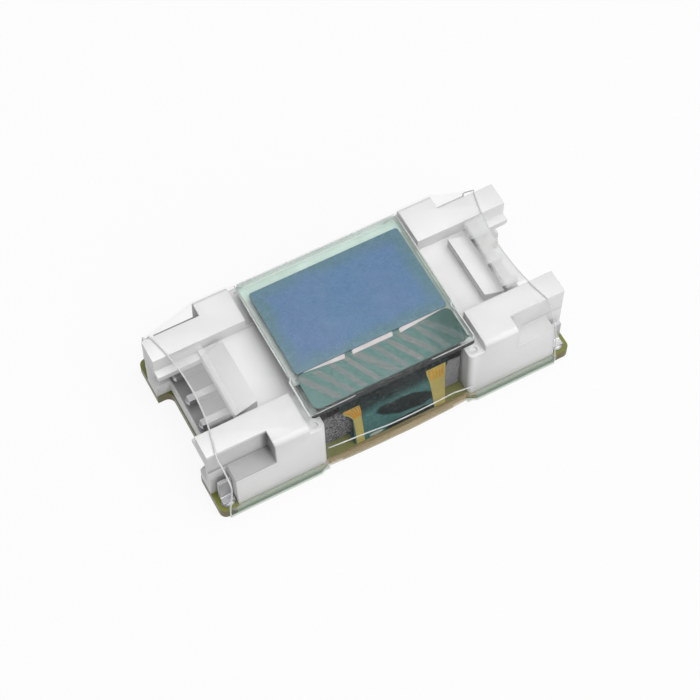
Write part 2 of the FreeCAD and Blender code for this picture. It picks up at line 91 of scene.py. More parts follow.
class Tree:
    """A node tree, with short ways to add and join nodes."""

    prefix = ""

    def __init__(self, tree: bpy.types.NodeTree) -> None:
        """Take the tree to work on."""
        self.tree = tree

    def add(self, kind: str, settings: dict | None = None, **inputs: object) -> bpy.types.Node:
        """Add a node.

        Args:
            kind: the node's type name, after the tree's own prefix.
            settings: properties of the node itself.
            inputs: values or sockets for its inputs, with spaces as underscores.

        Returns:
            The new node.
        """
        node = self.tree.nodes.new(self.prefix + kind)
        for key, value in (settings or {}).items():
            setattr(node, key, value)
        for key, value in inputs.items():
            self.feed(node.inputs[key.replace("_", " ")], value)
        return node

    def feed(self, socket: bpy.types.NodeSocket, value: object) -> None:
        """Join a socket to an input, or set the input's own value.

        Args:
            socket: the input.
            value: a socket, a number or a colour.
        """
        if isinstance(value, bpy.types.NodeSocket):
            self.tree.links.new(value, socket)
        elif isinstance(value, tuple) and len(value) == 3 and socket.type == "RGBA":
            socket.default_value = (*value, 1.0)
        else:
            socket.default_value = value

    def numbered(self, node: bpy.types.Node, inputs: dict[int, object]) -> bpy.types.Node:
        """Feed a node's inputs by their numbers and return the node.

        Args:
            node: the node to feed.
            inputs: a value or a socket for each input's number.

        Returns:
            The same node.
        """
        for number, value in inputs.items():
            self.feed(node.inputs[number], value)
        return node

    def math(self, operation: str, a: object, b: object = 0.0, clamp: bool = False) -> bpy.types.NodeSocket:
        """Return the result of one sum on two values.

        Args:
            operation: the name of the sum.
            a: the first value.
            b: the second value.
            clamp: whether the result is held between 0 and 1.

        Returns:
            The socket of the result.
        """
        node = self.tree.nodes.new("ShaderNodeMath")
        node.operation, node.use_clamp = operation, clamp
        return self.numbered(node, {0: a, 1: b}).outputs[0]

    def product(self, first: object, *others: object) -> bpy.types.NodeSocket:
        """Return the product of several values.

        Args:
            first: the first value.
            others: the other values.

        Returns:
            The socket of the result.
        """
        for other in others:
            first = self.math("MULTIPLY", first, other)
        return first


class ShaderTree(Tree):
    """A tree of shader nodes."""

    prefix = "ShaderNode"

    def spread(self, value: object, low: object, high: object, start: object = 0.0, end: object = 1.0,
               smooth: bool = True) -> bpy.types.NodeSocket:
        """Return a value taken from one range to another.

        Args:
            value: the socket to read.
            low: the value that gives start.
            high: the value that gives end.
            start: the result at low.
            end: the result at high.
            smooth: whether the step is eased.

        Returns:
            The socket of the result, held between start and end.
        """
        node = self.add("MapRange", {"interpolation_type": "SMOOTHSTEP" if smooth else "LINEAR"}, Value=value,
                        From_Min=low, From_Max=high, To_Min=start, To_Max=end)
        return node.outputs["Result"]

    def fade(self, value: object, low: float, high: float) -> bpy.types.NodeSocket:
        """Return 1 below low, 0 above high and an eased share between them."""
        return self.spread(value, low, high, 1.0, 0.0)

    def blend(self, share: object, a: object, b: object, mode: str = "MIX") -> bpy.types.NodeSocket:
        """Return a colour between two, by a share from 0 to 1."""
        node = self.add("Mix", {"data_type": "RGBA", "blend_type": mode})
        return self.numbered(node, {0: share, 6: a, 7: b}).outputs[2]


class Effect(ShaderTree):
    """A shared group of shader nodes with named inputs and outputs."""

    def __init__(self, name: str, **inputs: object) -> None:
        """Make an empty group.

        Args:
            name: the group's name.
            inputs: first values, with spaces as underscores; a tuple is a colour and None a vector.
        """
        super().__init__(bpy.data.node_groups.new(name, "ShaderNodeTree"))
        for label, value in inputs.items():
            kind = "Vector" if value is None else "Color" if isinstance(value, tuple) else "Float"
            socket = self.tree.interface.new_socket(label.replace("_", " "), in_out="INPUT",
                                                    socket_type="NodeSocket" + kind)
            if value is not None:
                socket.default_value = value
        self.values = self.tree.nodes.new("NodeGroupInput").outputs

    def close(self, **results: bpy.types.NodeSocket) -> bpy.types.NodeTree:
        """Give the group its outputs and return its tree.

        Args:
            results: the socket that each output gives.

        Returns:
            The finished group.
        """
        for label, socket in results.items():
            kind = "NodeSocketColor" if socket.type == "RGBA" else "NodeSocketFloat"
            self.tree.interface.new_socket(label, in_out="OUTPUT", socket_type=kind)
        end = self.tree.nodes.new("NodeGroupOutput")
        for label, socket in results.items():
            self.feed(end.inputs[label], socket)
        return self.tree


def drift_group() -> bpy.types.NodeTree:
    """Return the group that lets a colour drift softly between two."""
    g = Effect("colour_drift", Vector=None, First=(1, 1, 1, 1), Second=(0, 0, 0, 1), Scale=500.0,
               Contrast=0.2)
    value = g.values
    cloud = g.add("TexNoise", Vector=value["Vector"], Scale=value["Scale"], Detail=4.0)
    share = g.spread(cloud.outputs["Fac"], g.math("SUBTRACT", 0.5, value["Contrast"]),
                     g.math("ADD", 0.5, value["Contrast"]), smooth=False)
    return g.close(Colour=g.blend(share, value["First"], value["Second"]))


def grain_group() -> bpy.types.NodeTree:
    """Return the group for the height and roughness of a moulded or sawn surface."""
    g = Effect("surface_grain", Vector=None, Scale=3000.0, Fine_Scale=12000.0, Low=0.3, High=0.5)
    value = g.values
    waves = [g.add("TexNoise", Vector=value["Vector"], Scale=value[label], Detail=2.0).outputs["Fac"]
             for label in ("Scale", "Fine Scale")]
    height = g.math("ADD", *waves)
    rough = g.spread(height, 0.7, 1.3, value["Low"], value["High"], smooth=False)
    return g.close(Height=height, Roughness=rough)


@dataclass(frozen=True)
class SharedEffects:
    """The node groups that several finishes use."""

    drift: bpy.types.NodeTree
    grain: bpy.types.NodeTree


@dataclass(frozen=True)
class Grain:
    """The fine grain of a surface; scales are in cells per metre and depth is in metres."""

    scale: float
    fine_scale: float
    low: float
    high: float
    strength: float = 0.4
    depth: float = 0.000004


class Shader(ShaderTree):
    """A material's node tree."""

    def __init__(self, name: str, shared: SharedEffects | None = None) -> None:
        """Make an empty material.

        Args:
            name: the material's name.
            shared: the node groups that it may use.
        """
        self.material = bpy.data.materials.new(name)
        self.material.use_nodes = True
        super().__init__(self.material.node_tree)
        self.tree.nodes.clear()
        self.shared = shared
        self.out = self.add("OutputMaterial")
        self.place = self.add("TexCoord").outputs["Object"]

    def scaled(self, scale: tuple[float, float, float]) -> bpy.types.NodeSocket:
        """Return the object coordinates stretched along each axis."""
        return self.add("Mapping", Vector=self.place, Scale=scale).outputs["Vector"]

    def noise(self, scale: float, detail: float) -> bpy.types.NodeSocket:
        """Return a soft random value; scale is in cells per metre."""
        return self.add("TexNoise", Scale=scale, Detail=detail, Vector=self.place).outputs["Fac"]

    def wander(self, scale: float, detail: float, width: float) -> bpy.types.NodeSocket:
        """Return a soft random value about zero, spread over a width."""
        return self.product(self.math("SUBTRACT", self.noise(scale, detail), 0.5), width)

    def axis(self, letter: str) -> bpy.types.NodeSocket:
        """Return one object coordinate, in millimetres."""
        return self.product(self.add("SeparateXYZ", Vector=self.place).outputs[letter], 1.0 / MM)

    def away(self, letter: str) -> bpy.types.NodeSocket:
        """Return the distance from the middle along one axis, in millimetres."""
        return self.math("ABSOLUTE", self.axis(letter))

    def group(self, tree: bpy.types.NodeTree, **inputs: object) -> bpy.types.Node:
        """Add a shared node group with its own values."""
        return self.add("Group", {"node_tree": tree}, **inputs)

    def drift(self, first: Colour, second: Colour, scale: float, contrast: float = 0.18,
              vector: bpy.types.NodeSocket | None = None) -> bpy.types.NodeSocket:
        """Return a colour that drifts softly between two."""
        return self.group(self.shared.drift, Vector=vector or self.place, First=first, Second=second,
                          Scale=scale, Contrast=contrast).outputs["Colour"]

    def grain(self, grain: Grain,
              vector: bpy.types.NodeSocket | None = None) -> dict[str, bpy.types.NodeSocket]:
        """Return the roughness and the normal of a fine grain, as inputs of a surface.

        Args:
            grain: the sizes of the grain.
            vector: the coordinates that it follows, or the object's own.

        Returns:
            The two sockets, by the names of the inputs that they feed.
        """
        fine = self.group(self.shared.grain, Vector=vector or self.place, Scale=grain.scale,
                          Fine_Scale=grain.fine_scale, Low=grain.low, High=grain.high).outputs
        bump = self.add("Bump", Strength=grain.strength, Distance=grain.depth, Height=fine["Height"])
        return {"Roughness": fine["Roughness"], "Normal": bump.outputs["Normal"]}

    def principled(self, **inputs: object) -> bpy.types.NodeSocket:
        """Return the output of a Principled shader with these inputs."""
        return self.add("BsdfPrincipled", **inputs).outputs["BSDF"]

    def layered(self, share: object, under: bpy.types.NodeSocket,
                over: bpy.types.NodeSocket) -> bpy.types.NodeSocket:
        """Return one shader over another, by a share from 0 to 1."""
        return self.numbered(self.add("MixShader"), {0: share, 1: under, 2: over}).outputs[0]

    def finish(self, surface: bpy.types.NodeSocket) -> bpy.types.Material:
        """Join the surface to the output and return the material."""
        self.feed(self.out.inputs["Surface"], surface)
        return self.material


# -------------------------------------------------------------------- finishes


class Finish:
    """A look that can be built into a material."""

    name: str

    def build(self, shared: SharedEffects) -> bpy.types.Material:
        """Return the finish as a material.

        Args:
            shared: the node groups to use.

        Returns:
            The material.
        """
        s = Shader(self.name, shared)
        return s.finish(self.surface(s))

    def surface(self, s: Shader) -> bpy.types.NodeSocket:
        """Return the surface, built in the material's tree."""
        raise NotImplementedError


@dataclass(frozen=True)
class DullFinish(Finish):
    """A matt or satin surface with drifting colour and a fine grain."""

    name: str
    first: Colour
    second: Colour
    low: float = 0.4
    high: float = 0.55
    drift_scale: float = 350.0
    grain_scale: float = 3000.0
    grain_depth: float = 0.000004
    metallic: float = 0.0
    stretch: tuple[float, float, float] = (1.0, 1.0, 1.0)
    specular: float = 0.5

    def surface(self, s: Shader) -> bpy.types.NodeSocket:
        """Return the surface, with both effects stretched alike.

        Args:
            s: the material's tree.

        Returns:
            The surface's socket.
        """
        vector = s.scaled(self.stretch)
        grain = Grain(self.grain_scale, self.grain_scale * 4, self.low, self.high, 0.5, self.grain_depth)
        colour = s.drift(self.first, self.second, self.drift_scale, vector=vector)
        return s.principled(Base_Color=colour, Metallic=self.metallic, Specular_IOR_Level=self.specular,
                            **s.grain(grain, vector))


@dataclass(frozen=True)
class PlasticFinish(Finish):
    """White moulded plastic, with painted shade in its corners, recesses, mating cavities and side notches.
    """

    name: str = "moulded_white"
    white: Colour = (0.65, 0.65, 0.645)
    cool: Colour = (0.61, 0.61, 0.61)
    # the colour of the painted shade in corners, cavities and notches
    painted_shade: Colour = (0.07, 0.07, 0.068)
    reach: float = 0.0014
    left_shade_strength: float = 0.95
    right_shade_strength: float = 0.3
    cavity: float = 0.76
    notch: float = 0.62
    grain: Grain = Grain(2600.0, 10400.0, 0.38, 0.5, 0.5, 0.000003)

    def surface(self, s: Shader) -> bpy.types.NodeSocket:
        """Return the surface, with shade painted into its base colour where little light reaches it.

        Args:
            s: the material's tree.

        Returns:
            The surface's socket.
        """
        # painted shade: occlusion and the cavity and notch masks darken the base colour, more strongly on the
        # left socket
        around = s.add("AmbientOcclusion", {"samples": 12, "only_local": True}, Distance=self.reach)
        closed = s.product(s.spread(around.outputs["AO"], 0.08, 0.6, 1.0, 0.0, smooth=False),
                           s.spread(s.away("X"), 9.0, 9.8, 0.3, 1.0))
        shaded = s.math("MAXIMUM", closed, s.math("MAXIMUM", self.painted_cavity_shade(s), self.painted_notch_shade(s)))
        strength = s.spread(s.axis("X"), -4.0, 4.0, self.left_shade_strength, self.right_shade_strength)
        colour = s.blend(s.math("MULTIPLY", shaded, strength, clamp=True),
                         s.drift(self.white, self.cool, 260.0), self.painted_shade)
        return s.principled(Base_Color=colour, **s.grain(self.grain))

    def painted_cavity_shade(self, s: Shader) -> bpy.types.NodeSocket:
        """Return how much painted shade of the mating cavity a point has.

        Args:
            s: the material's tree.

        Returns:
            A socket from 0 to 1.
        """
        reach = s.away("X")
        return s.product(s.spread(s.away("Y"), 4.0, 4.2, self.cavity, 0.0), s.fade(s.axis("Z"), 2.5, 4.3),
                         s.spread(reach, 7.0, 7.2), s.fade(reach, 11.95, 12.09))

    def painted_notch_shade(self, s: Shader) -> bpy.types.NodeSocket:
        """Return how much painted shade of a side notch a point has.

        Args:
            s: the material's tree.

        Returns:
            A socket from 0 to 1.
        """
        reach, beside, height = s.away("X"), s.away("Y"), s.axis("Z")
        level = s.spread(height, 3.93, 4.3, self.notch, 0.4 * self.notch)
        end = s.product(s.spread(reach, 8.95, 9.7, 0.95, 0.0), s.spread(beside, 4.9, 6.4, 1.0, 0.55))
        return s.product(s.math("MAXIMUM", level, end), s.spread(height, 3.8, 3.9), s.fade(height, 5.7, 6.0),
                         s.spread(beside, 4.7, 4.8), s.spread(reach, 8.85, 8.95))


@dataclass(frozen=True)
class BoardFinish(Finish):
    """Solder mask over laminate, with bare laminate on the cut edges."""

    name: str = "board_mask_and_laminate"
    mask: Colour = (0.17, 0.185, 0.022)
    mask_dark: Colour = (0.09, 0.10, 0.012)
    waist_mask: Colour = (0.165, 0.172, 0.05)
    laminate: Colour = (0.44, 0.34, 0.17)
    laminate_dark: Colour = (0.28, 0.20, 0.09)
    olive: Colour = (0.10, 0.085, 0.008)
    covered: Colour = (0.30, 0.35, 0.28)
    waist: float = 5.7
    cut: float = 12.0
    grain: Grain = Grain(4000.0, 15000.0, 0.28, 0.5)

    def surface(self, s: Shader) -> bpy.types.NodeSocket:
        """Return the surface: mask on the faces and laminate on what stands upright.

        Args:
            s: the material's tree.

        Returns:
            The surface's socket.
        """
        reach = s.away("X")
        past_waist = s.spread(reach, self.waist, self.waist + 0.2)
        layers = s.drift(self.laminate, self.laminate_dark, 1500.0, 0.15, s.scaled((1.0, 1.0, 7.0)))
        flank = s.blend(past_waist, layers, self.covered)
        flank = s.blend(s.spread(reach, self.cut, self.cut + 0.1), flank, self.olive)
        top = s.blend(s.spread(reach, self.waist - 0.6, self.waist, 0.75, 0.0),
                      s.drift(self.mask, self.mask_dark, 700.0, 0.2), self.waist_mask)
        rim = s.product(s.spread(s.away("Y"), 6.2, 6.28), past_waist,
                        s.fade(reach, self.cut - 0.3, self.cut), 0.8)
        top = s.blend(rim, top, self.covered)
        upright = s.add("SeparateXYZ", Vector=s.add("NewGeometry").outputs["Normal"]).outputs["Z"]
        side = s.fade(s.math("ABSOLUTE", upright), 0.5, 0.7)
        return s.principled(Base_Color=s.blend(side, top, flank), **s.grain(self.grain))


@dataclass(frozen=True)
class PolariserFinish(Finish):
    """The blue film on the panel: blue in the middle, greener along its edges."""

    half_width: float
    front: float
    back: float
    name: str = "polariser_blue"
    blue: Colour = (0.064, 0.148, 0.266)
    violet: Colour = (0.080, 0.139, 0.270)
    teal: Colour = (0.074, 0.155, 0.158)
    speck: Colour = (0.12, 0.22, 0.36)
    grain: Grain = Grain(900.0, 7000.0, 0.22, 0.34, 0.25)

    def surface(self, s: Shader) -> bpy.types.NodeSocket:
        """Return the surface, coloured by the distance from the nearest edge.

        Args:
            s: the material's tree.

        Returns:
            The surface's socket.
        """
        across = s.math("SUBTRACT", self.half_width, s.away("X"))
        y = s.axis("Y")
        along = s.math("MINIMUM", s.math("SUBTRACT", self.back, y), s.math("SUBTRACT", y, self.front))
        nearest = s.math("MINIMUM", across, along)
        rim = s.spread(s.math("ADD", nearest, s.wander(300.0, 2.0, 1.6)), 0.1, 1.3, 0.8, 0.0)
        colour = s.blend(rim, s.drift(self.blue, self.violet, 220.0, 0.2), self.teal)
        colour = s.blend(s.spread(s.noise(2600.0, 3.0), 0.35, 0.65, 0.0, 0.22), colour, self.speck)
        return s.principled(Base_Color=colour, **s.grain(self.grain))


@dataclass(frozen=True)
class ClearFinish(Finish):
    """A clear film or glass that shows what is behind it, with gloss and a faint haze."""

    name: str
    tint: Colour = (0.995, 0.995, 0.995)
    haze_colour: Colour = (0.63, 0.64, 0.63)
    haze: float = 0.05
    cloud: float = 0.05
    cloud_scale: float = 300.0
    index: float = 1.45
    roughness: float = 0.08
    gloss: float = 1.0
    ripple: float = 0.00001
    ripple_scale: float = 500.0
    attribute: str = ""

    def surface(self, s: Shader) -> bpy.types.NodeSocket:
        """Return the surface: clear, then haze, then gloss on the side that faces out.

        Args:
            s: the material's tree.

        Returns:
            The surface's socket.
        """
        shine = s.grain(Grain(self.ripple_scale, self.ripple_scale * 5, self.roughness, self.roughness + 0.1,
                              0.6, self.ripple))
        share = s.spread(s.noise(self.cloud_scale, 4.0), 0.4, 0.75, self.haze, self.haze + self.cloud)
        if self.attribute:
            marked = s.add("Attribute", {"attribute_name": self.attribute}).outputs["Fac"]
            share = s.math("ADD", share, marked, clamp=True)
        clear = s.add("BsdfTransparent", Color=self.tint).outputs["BSDF"]
        veil = s.principled(Base_Color=self.haze_colour, Roughness=0.5, Normal=shine["Normal"])
        mirror = s.principled(Base_Color=(0.95, 0.95, 0.95), Metallic=1.0, **shine)
        facing = s.math("SUBTRACT", 1.0, s.add("NewGeometry").outputs["Backfacing"])
        glance = s.add("Fresnel", IOR=self.index, Normal=shine["Normal"]).outputs["Fac"]
        return s.layered(s.product(glance, facing, self.gloss), s.layered(share, clear, veil), mirror)


@dataclass(frozen=True)
class FlexFinish(Finish):
    """The dark face of the flat cable, with painted shade towards its top under the glass and black patches
    of painted shadow.

    A patch is its middle and level, its half width and half height, and its slope.
    """

    name: str = "flex_dark_teal"
    teal: Colour = (0.022, 0.085, 0.082)
    pale: Colour = (0.050, 0.128, 0.120)
    # colour of the painted shade at the top, under the glass
    top_shade: Colour = (0.002, 0.014, 0.014)
    black: Colour = (0.002, 0.007, 0.007)
    blotch: Colour = (0.30, 0.32, 0.28)
    speck: Colour = (0.35, 0.42, 0.40)
    pale_patch: Patch = (-1.5, 1.12, 0.6, 0.2, 0.0)
    # black patches of painted shadow
    shadow_patches: tuple[Patch, ...] = (
        (1.0, 2.75, 2.4, 0.85, -0.2), (1.3, 1.05, 2.7, 0.6, 0.0), (0.2, 5.3, 4.2, 0.6, 0.0))
    grain: Grain = Grain(1500.0, 9000.0, 0.2, 0.42, 0.4, 0.00001)

    def surface(self, s: Shader) -> bpy.types.NodeSocket:
        """Return the surface, with painted shade towards the top, under the glass.

        Args:
            s: the material's tree.

        Returns:
            The surface's socket.
        """
        wander = s.wander(700.0, 3.0, 0.9)
        # painted shade: darker towards the top, in the shadow under the glass
        colour = s.blend(s.spread(s.math("ADD", s.axis("Z"), wander), 3.4, 4.7),
                         s.drift(self.teal, self.pale, 450.0, 0.2), self.top_shade)
        colour = s.blend(self.patch(s, wander, self.pale_patch), colour, self.blotch)
        # painted shadow: black patches where shade falls on the cable
        for patch in self.shadow_patches:
            colour = s.blend(self.patch(s, wander, patch), colour, self.black)
        colour = s.blend(s.product(s.spread(s.noise(7000.0, 2.0), 0.56, 0.68), 0.14), colour, self.speck)
        return s.principled(Base_Color=colour, Specular_IOR_Level=0.03, **s.grain(self.grain))

    def patch(self, s: Shader, wander: bpy.types.NodeSocket, patch: Patch) -> bpy.types.NodeSocket:
        """Return the share of one patch, whose rim is frayed by a random value.

        Args:
            s: the material's tree.
            wander: the random value that frays the rim.
            patch: the patch's place, size and slope.

        Returns:
            A socket from 0 to 1.
        """
        middle, level, half, tall, slope = patch
        away = s.math("SUBTRACT", s.axis("X"), middle)
        rise = s.math("SUBTRACT", s.math("SUBTRACT", s.axis("Z"), level), s.product(away, slope))
        dx, dz = s.math("DIVIDE", away, half), s.math("DIVIDE", rise, tall)
        reach = s.math("SQRT", s.math("ADD", s.product(dx, dx), s.product(dz, dz)))
        return s.fade(s.math("ADD", reach, wander), 0.8, 1.0)


@dataclass(frozen=True)
class FoamFinish(Finish):
    """Open grey foam: speckled, and black in the shade under the glass."""

    name: str = "grey_foam"
    grey: Colour = (0.205, 0.205, 0.210)
    dark: Colour = (0.028, 0.028, 0.030)
    right: Colour = (0.24, 0.24, 0.245)
    shade: Colour = (0.004, 0.004, 0.004)
    shade_level: float = 4.85
    grain: Grain = Grain(6000.0, 24000.0, 0.7, 0.95, 0.6, 0.00004)

    def surface(self, s: Shader) -> bpy.types.NodeSocket:
        """Return the surface, paler towards the right and shaded towards the top.

        Args:
            s: the material's tree.

        Returns:
            The surface's socket.
        """
        colour = s.blend(s.spread(s.axis("X"), -3.0, 4.0, 0.0, 0.6),
                         s.drift(self.grey, self.dark, 7200.0, 0.11), self.right)
        height = s.math("ADD", s.axis("Z"), s.wander(900.0, 3.0, 0.7))
        colour = s.blend(s.spread(height, self.shade_level - 0.35, self.shade_level), colour, self.shade)
        return s.principled(Base_Color=colour, Specular_IOR_Level=0.03, **s.grain(self.grain))


@dataclass(frozen=True)
class LedgeFinish(Finish):
    """The teal coating on the glass ledge, darker towards its right end."""

    name: str = "ledge_teal"
    teal: Colour = (0.052, 0.138, 0.122)
    pale: Colour = (0.076, 0.165, 0.154)
    dark: Colour = (0.004, 0.046, 0.034)
    grain: Grain = Grain(3500.0, 14000.0, 0.2, 0.35, 0.4, 0.000002)

    def surface(self, s: Shader) -> bpy.types.NodeSocket:
        """Return the surface, with a frayed change to its dark end.

        Args:
            s: the material's tree.

        Returns:
            The surface's socket.
        """
        right = s.spread(s.math("ADD", s.axis("X"), s.wander(400.0, 3.0, 3.0)), 2.4, 5.2, 0.0, 0.88)
        colour = s.blend(right, s.drift(self.teal, self.pale, 500.0), self.dark)
        return s.principled(Base_Color=colour, **s.grain(self.grain))


@dataclass(frozen=True)
class SealFinish(Finish):
    """The pale glue between the two sheets of glass, greener at the back."""

    name: str = "glass_seal"
    green: Colour = (0.90, 0.95, 0.93)
    silver: Colour = (0.98, 0.92, 0.95)
    olive: Colour = (0.62, 0.64, 0.60)
    worn: Colour = (0.82, 0.84, 0.82)
    grain: Grain = Grain(2500.0, 9000.0, 0.3, 0.5)

    def surface(self, s: Shader) -> bpy.types.NodeSocket:
        """Return the surface, olive at the right and green at the back.

        Args:
            s: the material's tree.

        Returns:
            The surface's socket.
        """
        colour = s.blend(s.spread(s.axis("X"), 5.0, 5.4), self.silver, self.olive)
        colour = s.blend(s.spread(s.axis("Y"), 4.2, 4.5), colour, self.green)
        colour = s.blend(1.0, colour, s.drift((1.0, 1.0, 1.0), self.worn, 900.0, 0.2), "MULTIPLY")
        return s.principled(Base_Color=colour, Roughness=s.grain(self.grain)["Roughness"])


# ----------------------------------------------------------------- mesh making


def step_down(value: float, low: float, high: float) -> float:
    """Return 1 below low, 0 above high and an eased share between them."""
    share = min(1.0, max(0.0, (value - low) / (high - low)))
    return 1.0 - share * share * (3.0 - 2.0 * share)


def box_mm(node: str) -> tuple[Vector, Vector]:
    """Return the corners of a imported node's box, in millimetres."""
    low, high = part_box(node)
    return low / MM, high / MM


def between(a: Sequence[float], b: Sequence[float], share: float) -> tuple[float, ...]:
    """Return the point between two, by a share from 0 to 1."""
    return tuple(p + (q - p) * share for p, q in zip(a, b))


def band(a: int, b: int, count: int) -> list[tuple[int, int, int, int]]:
    """Return the faces between two rings of points that start at numbers a and b."""
    return [(a + i, a + (i + 1) % count, b + (i + 1) % count, b + i) for i in range(count)]


def linked(name: str, data: bpy.types.ID) -> bpy.types.Object:
    """Return a new object with this data, linked to the scene.

    Args:
        name: the object's name.
        data: its mesh, curve, camera or lamp.

    Returns:
        The new object.
    """
    obj = bpy.data.objects.new(name, data)
    bpy.context.scene.collection.objects.link(obj)
    return obj


def shade(mesh: bpy.types.Mesh, smooth: bool) -> None:
    """Let every face be shaded smooth or flat."""
    mesh.polygons.foreach_set("use_smooth", [smooth] * len(mesh.polygons))


def dress(mesh: bpy.types.Mesh, material: bpy.types.Material) -> None:
    """Give a mesh one material in place of its own."""
    mesh.materials.clear()
    mesh.materials.append(material)


@contextmanager
def opened(mesh: bpy.types.Mesh) -> Iterator[bmesh.types.BMesh]:
    """Open a mesh for editing and write it back at the end.

    Args:
        mesh: the mesh, changed in place.

    Returns:
        The open mesh, for the length of a with block.
    """
    bm = bmesh.new()
    bm.from_mesh(mesh)
    yield bm
    bm.to_mesh(mesh)
    bm.free()


def mesh_object(name: str, points: Iterable[Sequence[float]], faces: Sequence[Sequence[int]],
                materials: Sequence[bpy.types.Material], smooth: bool = False,
                marks: Sequence[int] | None = None) -> bpy.types.Object:
    """Make an object from points in millimetres.

    Args:
        name: the object's name.
        points: corners in millimetres.
        faces: corner numbers of each face.
        materials: the materials of the object.
        smooth: whether faces are shaded smooth.
        marks: the material number of each face.

    Returns:
        The new object, linked to the scene.
    """
    mesh = bpy.data.meshes.new(name)
    mesh.from_pydata([tuple(c * MM for c in p) for p in points], [], faces)
    for material in materials:
        mesh.materials.append(material)
    shade(mesh, smooth)
    if marks is not None:
        mesh.polygons.foreach_set("material_index", list(marks))
    mesh.update()
    return linked(name, mesh)


def ribbon(name: str, rows: Sequence[Sequence[Point]], material: bpy.types.Material) -> bpy.types.Object:
    """Return a flat ribbon through rows of four corners: two on its near face, two on its far face.

    Args:
        name: the object's name.
        rows: the four corners at each step, in millimetres.
        material: its material.

    Returns:
        The new object.
    """
    faces: list[Sequence[int]] = [(0, 1, 3, 2)]
    last = 4 * (len(rows) - 1)
    for a in range(0, last, 4):
        b = a + 4
        faces += [(a, b, b + 1, a + 1), (a + 2, a + 3, b + 3, b + 2), (a, a + 2, b + 2, b),
                  (a + 1, b + 1, b + 3, a + 3)]
    faces.append((last, last + 2, last + 3, last + 1))
    return mesh_object(name, [p for row in rows for p in row], faces, [material])


def plain_mesh(obj: bpy.types.Object) -> bpy.types.Mesh:
    """Return an object's shape as a new mesh, with its modifiers worked in.

    Args:
        obj: the object.

    Returns:
        The new mesh.
    """
    graph = bpy.context.evaluated_depsgraph_get()
    graph.update()
    return bpy.data.meshes.new_from_object(obj.evaluated_get(graph), depsgraph=graph)


def baked(obj: bpy.types.Object) -> bpy.types.Object:
    """Turn an object's modifiers into plain mesh and return it.

    Args:
        obj: the object, changed in place.

    Returns:
        The object.
    """
    mesh, old = plain_mesh(obj), obj.data
    obj.modifiers.clear()
    obj.data = mesh
    mesh.name = old.name
    bpy.data.meshes.remove(old)
    return obj


def outward(obj: bpy.types.Object) -> bpy.types.Object:
    """Turn every face of a closed mesh outwards and return the object.

    Args:
        obj: the object, changed in place.

    Returns:
        The object.
    """
    with opened(obj.data) as bm:
        bmesh.ops.remove_doubles(bm, verts=bm.verts, dist=1e-7)
        bmesh.ops.recalc_face_normals(bm, faces=bm.faces)
    return obj


def place_piece(obj: bpy.types.Object, slot: Slot, replaced: Sequence[str] = ()) -> bpy.types.Object:
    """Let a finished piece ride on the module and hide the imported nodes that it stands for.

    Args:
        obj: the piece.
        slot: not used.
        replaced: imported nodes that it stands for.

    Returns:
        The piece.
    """
    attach(obj, BODY)
    if replaced:
        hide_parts(*replaced)
    log.info("%-28s %6d faces  %s", obj.name, len(obj.data.polygons), ", ".join(replaced))
    return obj


def copied_node(node: str, name: str, material: bpy.types.Material) -> bpy.types.Object:
    """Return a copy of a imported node, joined into flat faces.

    Args:
        node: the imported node.
        name: the name of the copy.
        material: its material.

    Returns:
        The new object.
    """
    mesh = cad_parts[node].data.copy()
    mesh.name = name
    with opened(mesh) as bm:
        bmesh.ops.remove_doubles(bm, verts=bm.verts, dist=2e-6)
        bmesh.ops.dissolve_limit(bm, angle_limit=math.radians(0.6), verts=bm.verts, edges=bm.edges)
    dress(mesh, material)
    return linked(name, mesh)


def soften(obj: bpy.types.Object, width: float) -> None:
    """Round the sharp edges of an object, by a width in millimetres.

    Args:
        obj: the object, changed in place.
        width: how wide the rounding is, in millimetres.
    """
    bevel = obj.modifiers.new("edges", "BEVEL")
    bevel.width = width * MM
    bevel.segments = 2
    bevel.limit_method = "ANGLE"
    bevel.angle_limit = math.radians(35)
    bevel.use_clamp_overlap = True
    bevel.harden_normals = True
    shade(obj.data, True)
    baked(obj)


def rounded_outline(width: float, depth: float, radius: float, middle: float, steps: int = 6) -> Row:
    """Return a rectangle with rounded corners, counter-clockwise, with its middle at a place along Y.

    Args:
        width: how wide it is, in millimetres.
        depth: how deep it is, in millimetres.
        radius: the corners' radius.
        middle: the place of its middle along Y.
        steps: how many sides each corner has.

    Returns:
        Its corners, as places along X and Y.
    """
    points = []
    for quarter, (sx, sy) in enumerate(((1, 1), (-1, 1), (-1, -1), (1, -1))):
        for step in range(steps + 1):
            angle = math.pi / 2 * (quarter + step / steps)
            points.append((sx * (width / 2 - radius) + radius * math.cos(angle),
                           middle + sy * (depth / 2 - radius) + radius * math.sin(angle)))
    return points


def layered_plate(name: str, outline: Callable[[float], Row],
                  levels: Sequence[tuple[float, float]], materials: Sequence[bpy.types.Material],
                  rim_mark: int = 0) -> bpy.types.Object:
    """Return a plate built from rings, each drawn in by an inset.

    Args:
        name: the object's name.
        outline: gives the ring's corners for an inset.
        levels: inset and height of each ring, from the bottom up.
        materials: the plate's materials.
        rim_mark: the material number of the faces between the rings.

    Returns:
        The plate.
    """
    rings = [outline(inset) for inset, _ in levels]
    points = [(x, y, height) for ring, (_, height) in zip(rings, levels) for x, y in ring]
    count = len(rings[0])
    last = (len(levels) - 1) * count
    faces: list[Sequence[int]] = [list(range(count))[::-1]]
    for start in range(0, last, count):
        faces += band(start, start + count, count)
    faces.append([last + i for i in range(count)])
    marks = [0] + [rim_mark] * last + [0]
    return mesh_object(name, points, faces, materials, marks=marks)


